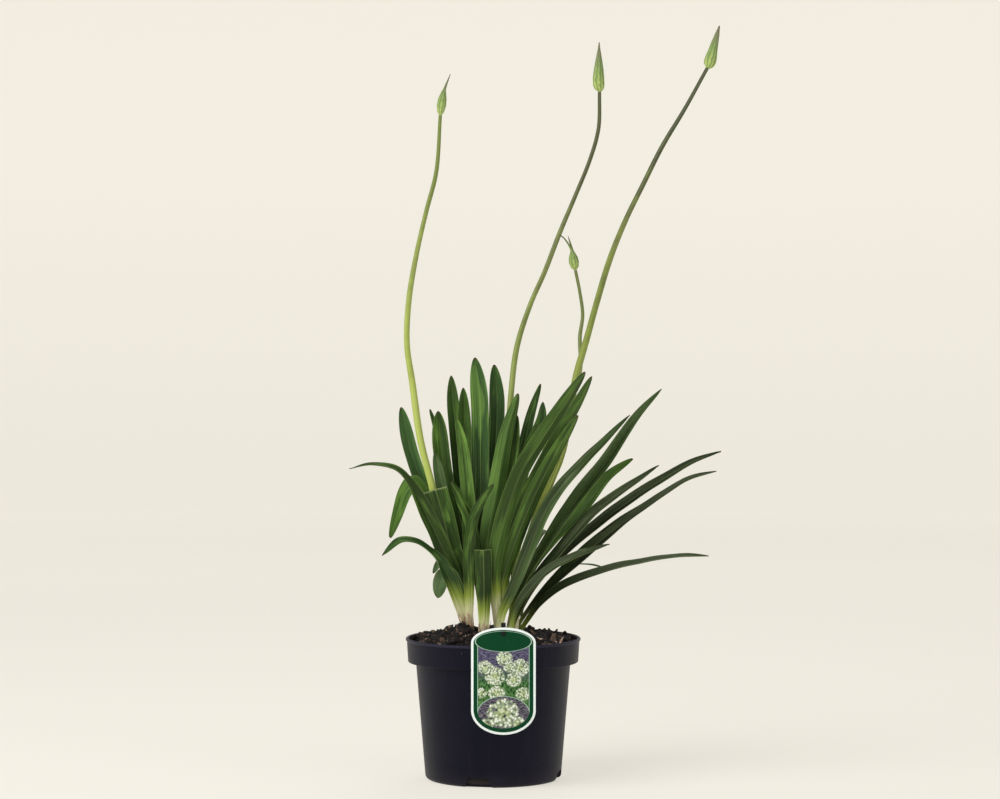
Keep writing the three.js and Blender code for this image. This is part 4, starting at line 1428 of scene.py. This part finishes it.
@dataclass
class FlowerStalks:
    """The four flower stalks and the closed bud on each."""

    stalk_rings: int = 120
    stalk_sides: int = 20
    bud_rings: int = 64
    bud_sides: int = 32
    strand_rings: int = 24
    strand_sides: int = 12
    strand_radii: Pair = (1.3, 0.6)
    rib_depth: float = 0.022
    fine_rib_depth: float = 0.012
    swelling: float = 0.03
    lap_height: float = 0.16
    lap_width: float = 0.16
    pleat_depth: float = 0.035
    seat: float = 0.0003

    def make(self) -> None:
        """Models and dresses each stalk with its bud."""
        skin = BudFinish().material()
        for stem in STEMS:
            course = shoot_course(stem.foot, stem.path)
            finish = StalkFinish(f"stalk_skin_{stem.name}", *STALK_TINTS[stem.name])
            stalk = self._stalk(stem, course)
            hand_in(stalk, f"stalk_{stem.name}_fine", f"stalk_{stem.name}", finish.material())
            bud = self._bud(stem, course)
            hand_in(bud, f"bud_{stem.name}_fine", f"bud_{stem.name}", skin)

    def _stalk(self, stem: Stem, course: Course) -> Piece:
        """Models a stalk with faint ribs and a slight swelling here and there.

        Args:
            stem: The stalk.
            course: Its course.

        Returns:
            The stalk, in its place.
        """
        foot, middle, top = (radius * MM for radius in stem.radii)
        drawn = random.Random(SEED + len(stem.path))
        phase = drawn.random() * math.tau

        def radius(place: float, angle: float) -> float:
            """The radius with its ribs and swellings.

            Args:
                place: The place along.
                angle: The angle round.

            Returns:
                The radius.
            """
            plain = read_pairs(((0, foot), (0.4, middle), (1, top)), place)
            ribs = self.rib_depth * math.cos(6 * angle + phase) + self.fine_rib_depth * math.cos(11 * angle)
            return plain * (1 + ribs) * (1 + self.swelling * math.sin(place * 31 + phase))

        return make_rod(course, self.stalk_rings, self.stalk_sides, radius)

    def _bud(self, stem: Stem, carrier: Course) -> Piece:
        """Models a closed bud: a spathe whose one edge laps over the other and runs into a beak.

        Args:
            stem: The stalk that it sits on.
            carrier: The stalk's course.

        Returns:
            The bud, in its place.
        """
        onward = carrier.heading(1.0)
        seat = carrier.at(1.0) + onward * self.seat
        course = Course([seat, seat + onward * 2 * MM, *metres(stem.bud_path)])

        def radius(place: float, angle: float) -> float:
            """The radius with its lap and pleats.

            Args:
                place: The place along.
                angle: The angle round.

            Returns:
                The radius.
            """
            plain = read_pairs(stem.bud_radii, place) * MM
            body = math.sin(math.pi * min(place / 0.75, 1.0))
            off = math.remainder(angle - 0.7 - place * 1.4, math.tau)
            lap = self.lap_height * body * math.exp(-(off / self.lap_width) ** 2)
            pleats = self.pleat_depth * body * math.cos(7 * angle + place * 3)
            return plain * (1 + lap + pleats)

        bud = make_rod(course, self.bud_rings, self.bud_sides, radius)
        if stem.strand:
            strand = make_rod(Course(metres(stem.strand)), self.strand_rings, self.strand_sides,
                              lambda place, angle: blend(*self.strand_radii, place) * MM)
            pick_only(bud)
            strand.select_set(True)
            bpy.ops.object.join()
        return bud


# ------------------------------------------------------------------ pot


@dataclass
class NurseryPot:
    """The round moulded pot: a body, a deep rim with a rolled lip, and slots in its foot edge."""

    sides: int = 192
    height: float = POT_HIGH.z
    lip: float = POT_HIGH.x
    rim: float = 0.0938
    rim_foot: float = 0.0925
    rim_depth: float = 0.026
    rim_round: float = 0.001
    lip_depth: float = 0.0034
    neck: float = 0.084
    base: float = 0.074
    foot_round: float = 0.005
    wall: float = 0.0018
    floor: float = 0.0025
    floor_round: float = 0.004
    recess: float = 0.0009
    slots: int = 4
    first_slot: float = -102.5
    slot_wide: float = 0.031
    slot_narrow: float = 0.0215
    slot_high: float = 0.0105
    slot_inset: float = 0.009

    def profile(self) -> list[Pair]:
        """The outline, from the middle of the underside round to the middle of the floor inside.

        Returns:
            The outline as (radius, height) pairs.
        """
        top, rim_foot = self.height, self.height - self.rim_depth
        inside = self.base - self.wall
        points = [(0.002, self.recess), (0.012, self.recess), (0.013, self.recess * 0.3),
                  (0.016, self.recess * 0.3), (0.017, self.recess), (0.052, self.recess), (0.053, 0.0)]
        points += self._round(self.base, 0.0, self.foot_round, 8)
        points += [(blend(self.base, self.neck, step / 12), blend(self.foot_round, rim_foot, step / 12))
                   for step in range(1, 13)]
        points += self._round(self.rim_foot, rim_foot, self.rim_round, 4)
        points += [(blend(self.rim_foot, self.rim, share),
                    blend(rim_foot + self.rim_round, top - self.lip_depth, share))
                   for share in (0.25, 0.5, 0.75, 1.0)]
        points += [(self.rim + 0.0004, top - 0.0031), (self.lip - 0.0003, top - 0.0027),
                   (self.lip, top - 0.0022), (self.lip, top - 0.0010), (self.lip - 0.0003, top - 0.0004),
                   (self.lip - 0.0009, top), (self.rim - self.wall + 0.0008, top),
                   (self.rim - self.wall, top - 0.0006)]
        points += [(self.rim_foot - self.wall, rim_foot + self.wall + 0.001),
                   (self.rim_foot - self.wall - 0.001, rim_foot + self.wall),
                   (self.neck - self.wall, rim_foot + self.wall), (inside, self.floor + self.floor_round),
                   (inside - self.floor_round, self.floor), (0.002, self.floor)]
        return points

    @staticmethod
    def _round(radius: float, height: float, corner: float, steps: int) -> list[Pair]:
        """A rounded corner of the outline, from its underside up to its side.

        Args:
            radius: How far out its side is.
            height: How high its underside is.
            corner: How far it is rounded.
            steps: How many steps it is cut into.

        Returns:
            Its (radius, height) pairs.
        """
        angles = [step / steps * math.pi / 2 for step in range(steps + 1)]
        return [(radius - corner * (1 - math.sin(angle)), height + corner * (1 - math.cos(angle)))
                for angle in angles]

    def make(self) -> None:
        """Models and dresses the pot."""
        profile = self.profile()
        clear_selection()
        radius, height = profile[0]
        bpy.ops.mesh.primitive_circle_add(vertices=self.sides, radius=radius, fill_type="NGON",
                                          location=(0, 0, height))
        pot = bpy.context.object
        settle(pot)
        bpy.ops.object.mode_set(mode="EDIT")
        bpy.ops.mesh.select_all(action="SELECT")
        bpy.ops.mesh.delete(type="ONLY_FACE")
        bpy.ops.mesh.select_all(action="SELECT")
        for next_radius, next_height in profile[1:]:
            rise = (0, 0, next_height - height)
            bpy.ops.mesh.extrude_edges_move(TRANSFORM_OT_translate={"value": rise})
            share = next_radius / radius
            bpy.ops.transform.resize(value=(share, share, 1), center_override=(0, 0, next_height))
            radius, height = next_radius, next_height
        bpy.ops.mesh.edge_face_add()
        bpy.ops.object.mode_set(mode="OBJECT")
        self._close_underside(pot, profile[0][0])
        for cutter in self._cutters():
            cut_away(pot, cutter)
        smooth(pot, 32)
        hand_in(pot, "pot_fine", "pot", PotFinish().material())

    def _close_underside(self, pot: Piece, radius: float) -> None:
        """Closes the small ring left open in the middle of the underside.

        Args:
            pot: The pot.
            radius: The ring's radius.
        """
        def inner_ring(first: Vector, second: Vector) -> bool:
            """Whether an edge lies on the ring."""
            return all(end.z < self.floor / 2 and end.xy.length < radius * 1.2 for end in (first, second))

        pick_edges(pot, inner_ring)
        bpy.ops.mesh.edge_face_add()
        face_outwards(pot)

    def _cutters(self) -> list[Piece]:
        """Wedges in the shape of the drainage slots, wide at the bottom.

        Returns:
            The wedges.
        """
        cutters = []
        for index in range(self.slots):
            clear_selection()
            bpy.ops.mesh.primitive_cube_add(size=1, location=(0, -self.base, self.slot_high / 2 - 0.0005))
            wedge = bpy.context.object
            wedge.scale = (self.slot_wide, 2 * self.slot_inset, self.slot_high + 0.001)
            settle(wedge)
            pick_faces(wedge, lambda middle, normal: normal.z > 0.5)
            share = self.slot_narrow / self.slot_wide
            bpy.ops.transform.resize(value=(share, 1, 1))
            bpy.ops.object.mode_set(mode="OBJECT")
            turn = math.radians(self.first_slot + 90 + 360 / self.slots * index)
            wedge.data.transform(Matrix.Rotation(turn, 4, "Z"))
            cutters.append(wedge)
        return cutters


# ------------------------------------------------------------------ compost


@dataclass(frozen=True)
class Crumb:
    """A kind of bit in the compost: how many, how large, how flat and long, how high it sits, and
    the range of its colour on the compost's ramp."""

    name: str
    count: int
    small: float
    large: float
    flat: Pair
    long: Pair
    sunk: float
    kind: Pair
    tilt: float = 0.5


CRUMBS = (
    Crumb("crumb", 2300, 0.0011, 0.0030, (0.6, 1.0), (1.0, 1.5), 0.1, (0.0, 0.8), 1.5),
    Crumb("lump", 190, 0.0030, 0.0066, (0.5, 0.9), (1.0, 1.6), -0.1, (0.0, 0.45), 0.9),
    Crumb("chip", 240, 0.0018, 0.0046, (0.16, 0.34), (1.5, 2.6), -0.4, (0.3, 0.9), 1.2),
    Crumb("splinter", 110, 0.0009, 0.0016, (0.5, 0.8), (5.0, 9.0), -0.6, (0.4, 0.9), 0.5),
    Crumb("shard", 70, 0.0022, 0.0042, (0.2, 0.4), (1.2, 1.8), -0.7, (0.0, 0.3), 1.5),
    # Pale bits: partly light specks, partly painted glints on the wet compost.
    Crumb("pale_bit", 110, 0.0008, 0.0017, (0.5, 1.0), (1.0, 2.0), -0.6, (0.9, 1.0), 1.0),
)

# Where the shoots, the stalks and the clip stand, in millimetres: middle [x, y] and half size [x, y].
CLEARINGS = (
    ((-28.6, 8.8), (9.5, 23)),
    ((-10, -9.8), (6, 13.5)),
    ((6, 4.9), (5.5, 18)),
    ((24.2, 6.6), (10, 27)),
    ((11, -90), (4, 3)),
)


@dataclass
class Compost:
    """The compost in the pot: a heaped, crumbly body with loose bits on it."""

    radius: float = (SOIL_HIGH.x - SOIL_LOW.x) / 2
    edge: float = 0.146
    crown: float = 0.1555
    inner: float = 0.0023
    rings: int = 44
    sides: int = 160
    swell: float = 0.0024
    swell_scale: float = 38
    crumble: float = 0.0030
    crumble_scale: float = 190
    drift: float = 0.0008
    drift_scale: float = 240
    calm_edge: float = 0.004
    mound: Triple = (-0.033, -0.0215, 0.016)
    mound_reach: float = 0.017
    drum: float = 0.01
    gap: float = 0.0003
    bit_seed: int = SEED + 500
    bit_shapes: int = 6
    bit_knobs: Pair = (-0.28, 0.22)
    bit_margin: float = 0.0035
    bit_lift: float = 0.0006
    smallness: float = 1.6

    def heap(self, x: float, y: float) -> float:
        """The height of the surface, with mounds but no crumbs.

        Args:
            x: Place in metres.
            y: Place in metres.

        Returns:
            The height in metres.
        """
        share = min(math.hypot(x, y) / self.radius, 1.0)
        mounds = noise.noise(Vector((x * self.swell_scale, y * self.swell_scale, 4.2))) * self.swell
        away = math.hypot(x - self.mound[0], y - self.mound[1]) / self.mound_reach
        drawn_up = self.mound[2] * smooth_step(1 - away, 0.0, 1.0)
        return blend(self.edge, self.crown, 1 - share ** 4) + mounds * (1 - share ** 6) + drawn_up

    def make(self) -> None:
        """Models and dresses the compost."""
        body = self._body()
        bits = [self._bits(crumb, index) for index, crumb in enumerate(CRUMBS)]
        pick_only(body)
        for bit in bits:
            bit.select_set(True)
        bpy.ops.object.join()
        smooth(body, 38)
        hand_in(body, "compost_fine", "soil", CompostFinish().material())

    def _body(self) -> Piece:
        """The body: a drum whose top is inset into rings and raised into a crumbly heap.

        Returns:
            The body.
        """
        clear_selection()
        bpy.ops.mesh.primitive_cylinder_add(vertices=self.sides, radius=self.radius, depth=self.drum)
        body = bpy.context.object
        pick_faces(body, lambda middle, normal: normal.z > 0.5)
        step = self.radius / (self.rings + 1)
        for _ in range(self.rings):
            bpy.ops.mesh.inset(thickness=step)
        bpy.ops.mesh.poke()
        pick_faces(body, lambda middle, normal: normal.z < -0.5)
        rings = self._lower_rings()
        for _ in rings[1:]:
            bpy.ops.mesh.extrude_region_move(TRANSFORM_OT_translate={"value": (0, 0, -self.drum)})
        bpy.ops.object.mode_set(mode="OBJECT")
        self._place_rings(body, rings)
        face_outwards(body)
        kinds = body.data.attributes.new("kind", "FLOAT", "POINT")
        shades = [0.22 + 0.25 * noise.noise(corner.co * 260) for corner in body.data.vertices]
        kinds.data.foreach_set("value", shades)
        return body

    def _lower_rings(self) -> list[Pair]:
        """The drum's lower rings, down along the pot's inside.

        Returns:
            The radius and height of each, from the top.
        """
        pot = NurseryPot()
        rim_foot = pot.height - pot.rim_depth + pot.wall + self.gap
        return [(pot.rim_foot - self.inner, rim_foot), (pot.neck - self.inner, rim_foot),
                (pot.base - self.inner, pot.floor + pot.floor_round + 0.0005),
                (pot.base - self.inner - pot.floor_round, pot.floor + self.gap)]

    def _place_rings(self, body: Piece, rings: Sequence[Pair]) -> None:
        """Puts the drum's lower rings in their place and raises the top into its heap.

        Args:
            body: The drum.
            rings: The radius and height of each lower ring.
        """
        for corner in body.data.vertices:
            if corner.co.z > 0:
                x, y = corner.co.x, corner.co.y
                where = Vector((x, y, 0))
                rough = noise.fractal(where * self.crumble_scale, 1.0, 2.0, 4) * self.crumble
                inward = min((self.radius - corner.co.xy.length) / self.calm_edge, 1.0)
                corner.co.z = self.heap(x, y) + rough * inward
                drift = noise.noise_vector(where * self.drift_scale) * self.drift * inward
                corner.co.x += drift.x
                corner.co.y += drift.y
                continue
            level = round((-self.drum / 2 - corner.co.z) / self.drum)
            radius, height = rings[level]
            share = radius / max(corner.co.xy.length, 1e-6)
            corner.co = (corner.co.x * share, corner.co.y * share, height)

    def _bits(self, crumb: Crumb, index: int) -> Piece:
        """Scatters one kind of bit: modelled once, then copied with turns and sizes of its own.

        Args:
            crumb: The kind.
            index: Its number, for the random draw.

        Returns:
            The bits as one mesh.
        """
        clear_selection()
        bpy.ops.mesh.primitive_ico_sphere_add(subdivisions=1, radius=1)
        model = bpy.context.object
        drawn = random.Random(self.bit_seed + index)
        plain = [corner.co for corner in model.data.vertices]
        shapes = [np.array([corner * (1 + drawn.uniform(*self.bit_knobs)) for corner in plain])
                  for _ in range(self.bit_shapes)]
        faces = np.array([face.vertices[:] for face in model.data.polygons])
        corners, polygons, kinds = [], [], []
        while len(corners) < crumb.count:
            x, y = self._spot(drawn)
            if self._is_clear(x, y):
                polygons.append(faces + len(corners) * len(shapes[0]))
                corners.append(self._bit(crumb, drawn.choice(shapes), x, y, drawn))
                kinds += [drawn.uniform(*crumb.kind)] * len(shapes[0])
        mesh = bpy.data.meshes.new(crumb.name)
        mesh.from_pydata(np.concatenate(corners).tolist(), [], np.concatenate(polygons).tolist())
        mesh.attributes.new("kind", "FLOAT", "POINT").data.foreach_set("value", kinds)
        bpy.data.objects.remove(model)
        bits = bpy.data.objects.new(crumb.name, mesh)
        bpy.context.scene.collection.objects.link(bits)
        return bits

    def _spot(self, drawn: random.Random) -> Pair:
        """Draws a spot on the surface, each as likely as any other.

        Args:
            drawn: The random draw.

        Returns:
            The spot's X and Y.
        """
        radius = (self.radius - self.bit_margin) * math.sqrt(drawn.random())
        angle = drawn.random() * math.tau
        return radius * math.cos(angle), radius * math.sin(angle)

    @staticmethod
    def _is_clear(x: float, y: float) -> bool:
        """Whether a spot is clear of the shoots, the stalks and the clip."""
        return not any(abs(x / MM - middle[0]) < half[0] and abs(y / MM - middle[1]) < half[1]
                       for middle, half in CLEARINGS)

    def _bit(self, crumb: Crumb, shape: np.ndarray, x: float, y: float, drawn: random.Random) -> np.ndarray:
        """Turns, sizes and places one bit.

        Args:
            crumb: Its kind.
            shape: Its corners.
            x: Its place in metres.
            y: Its place in metres.
            drawn: The random draw.

        Returns:
            The corners in their place.
        """
        size = blend(crumb.small, crumb.large, drawn.random() ** self.smallness)
        flat, long = drawn.uniform(*crumb.flat), drawn.uniform(*crumb.long)
        turn = Matrix.Rotation(drawn.random() * math.tau, 3, "Z")
        tilt = Matrix.Rotation(drawn.uniform(-crumb.tilt, crumb.tilt), 3, "Y")
        roll = Matrix.Rotation(drawn.uniform(-crumb.tilt, crumb.tilt), 3, "X")
        scaled = shape * (size * long, size, size * flat)
        placed = scaled @ np.array(turn @ tilt @ roll).T
        height = self.heap(x, y) - crumb.sunk * size + self.bit_lift
        return placed + (x, y, height)


# ------------------------------------------------------------------ label


@dataclass
class HangingLabel:
    """The plant label: a thin card with a low arc above and a deeper arc below, hung by a hole."""

    width: float = LABEL_HIGH.x - LABEL_LOW.x
    tall: float = LABEL_HIGH.z - LABEL_LOW.z
    top_arc: float = 0.016
    low_arc: float = 0.026
    peg_height: float = 0.167
    hole: float = 0.0017
    hole_sides: int = 40
    edge_round: float = 0.00018
    sides: int = 128

    def make(self) -> None:
        """Models and dresses the label."""
        clear_selection()
        bpy.ops.mesh.primitive_circle_add(vertices=self.sides, radius=1, fill_type="NGON")
        card = bpy.context.object
        middle = (LABEL_LOW.x + LABEL_HIGH.x) / 2
        for corner in card.data.vertices:
            x, up = corner.co.x * self.width / 2, corner.co.y
            if up >= -1e-6:
                height = LABEL_HIGH.z - self.top_arc + self.top_arc * up
            else:
                height = LABEL_LOW.z + self.low_arc + self.low_arc * up
            corner.co = (middle + x, LABEL_HIGH.y, height)
        thickness = LABEL_HIGH.y - LABEL_LOW.y
        pick_faces(card, lambda centre, normal: True)
        bpy.ops.mesh.extrude_region_move(TRANSFORM_OT_translate={"value": (0, -thickness, 0)})
        face_outwards(card)
        self._punch(card, middle)
        apply_modifier(card, "BEVEL", width=self.edge_round, segments=2, limit_method="ANGLE",
                       angle_limit=math.radians(50))
        smooth(card, 40)
        hand_in(card, "label_fine", "label", LabelFinish().material())

    def _punch(self, card: Piece, middle: float) -> None:
        """Cuts the round hole that the clip's peg goes through.

        Args:
            card: The card.
            middle: The card's middle, in X.
        """
        clear_selection()
        bpy.ops.mesh.primitive_cylinder_add(vertices=self.hole_sides, radius=self.hole, depth=0.01,
                                            location=(middle, LABEL_LOW.y, self.peg_height),
                                            rotation=(math.pi / 2, 0, 0))
        punch = bpy.context.object
        settle(punch)
        cut_away(card, punch)


class LabelClip:
    """The clip that hangs the label on the pot's rim: its own solid, with a finish."""

    def make(self) -> None:
        """Dresses the solid."""
        clip = frame["nodes"]["label_clip"]
        clip.data.materials.clear()
        clip.data.materials.append(ClipFinish().material())
        LOG.info("label_clip: %d faces", len(clip.data.polygons))


# ------------------------------------------------------------------ studio


@dataclass
class Studio:
    """The camera, a round pale floor that curves up into a wall, and soft lights."""

    camera_at: Triple = (0.0074, -2.9, 0.46)
    pitch: float = -0.958
    focal: float = 96.16
    sensor: float = 36.0
    floor_radius: float = 6.0
    wall_height: float = 2.3
    floor_sides: int = 96
    bend: float = 1.1
    bend_steps: int = 20
    looked_at: Triple = (0.03, 0.0, 0.35)
    glow: float = 0.2

    def make(self) -> None:
        """Sets up the camera, the floor and the lights."""
        self.make_camera()
        self.make_floor()
        self.make_lights()

    def make_camera(self) -> None:
        """Sets up the camera."""
        lens = bpy.data.cameras.new("camera")
        lens.lens, lens.sensor_width, lens.sensor_fit = self.focal, self.sensor, "HORIZONTAL"
        camera = bpy.data.objects.new("camera", lens)
        camera.location = self.camera_at
        camera.rotation_euler = (math.radians(90 + self.pitch), 0, 0)
        bpy.context.scene.collection.objects.link(camera)
        bpy.context.scene.camera = camera

    def make_floor(self) -> None:
        """Models the floor and the wall round it as one sheet with a rounded bend."""
        clear_selection()
        bpy.ops.mesh.primitive_circle_add(vertices=self.floor_sides, radius=self.floor_radius,
                                          fill_type="NGON")
        floor = bpy.context.object
        outer = self.floor_radius * 0.9
        pick_edges(floor, lambda a, b: a.length > outer and b.length > outer)
        bpy.ops.mesh.extrude_edges_move(TRANSFORM_OT_translate={"value": (0, 0, self.wall_height)})
        bpy.ops.object.mode_set(mode="OBJECT")
        pick_edges(floor, lambda a, b: a.z < 0.001 and b.z < 0.001)
        bpy.ops.mesh.bevel(offset=self.bend, segments=self.bend_steps)
        bpy.ops.object.mode_set(mode="OBJECT")
        smooth(floor, 60)
        floor.name = floor.data.name = "studio_floor"
        floor.data.materials.append(FloorFinish().material())

    def make_lights(self) -> None:
        """Hangs the soft lights and sets the sky's even glow."""
        self._panel("key_light", (-1.9, -1.5, 2.3), self.looked_at, size=2.3, power=74.0)
        self._panel("fill_light", (1.9, -1.5, 1.3), self.looked_at, size=1.6, power=10.0)
        self._panel("back_light", (0.5, 1.5, 2.2), (0.03, 0.0, 0.40), size=1.3, power=12.0)
        world = bpy.data.worlds.new("studio_glow")
        world.use_nodes = True
        glow = world.node_tree.nodes["Background"]
        glow.inputs["Color"].default_value = paint(250, 246, 236)
        glow.inputs["Strength"].default_value = self.glow
        bpy.context.scene.world = world
        bpy.context.scene.view_settings.view_transform = "Standard"

    @staticmethod
    def _panel(name: str, at: Triple, target: Triple, size: float, power: float) -> None:
        """Hangs a square light panel that faces a point.

        Args:
            name: Its name.
            at: Where it hangs.
            target: What it faces.
            size: Its side.
            power: Its power in watts.
        """
        lamp = bpy.data.lights.new(name, "AREA")
        lamp.size, lamp.energy = size, power
        panel = bpy.data.objects.new(name, lamp)
        panel.location = at
        panel.rotation_euler = (Vector(target) - Vector(at)).to_track_quat("-Z", "Y").to_euler()
        bpy.context.scene.collection.objects.link(panel)


def main() -> None:
    """Builds the studio and every piece, in order."""
    logging.basicConfig(level=logging.INFO, format="%(message)s")
    for assembly in (Studio, NurseryPot, Compost, LeafShoots, FlowerStalks, HangingLabel, LabelClip):
        assembly().make()


if __name__ == "__main__":
    main()
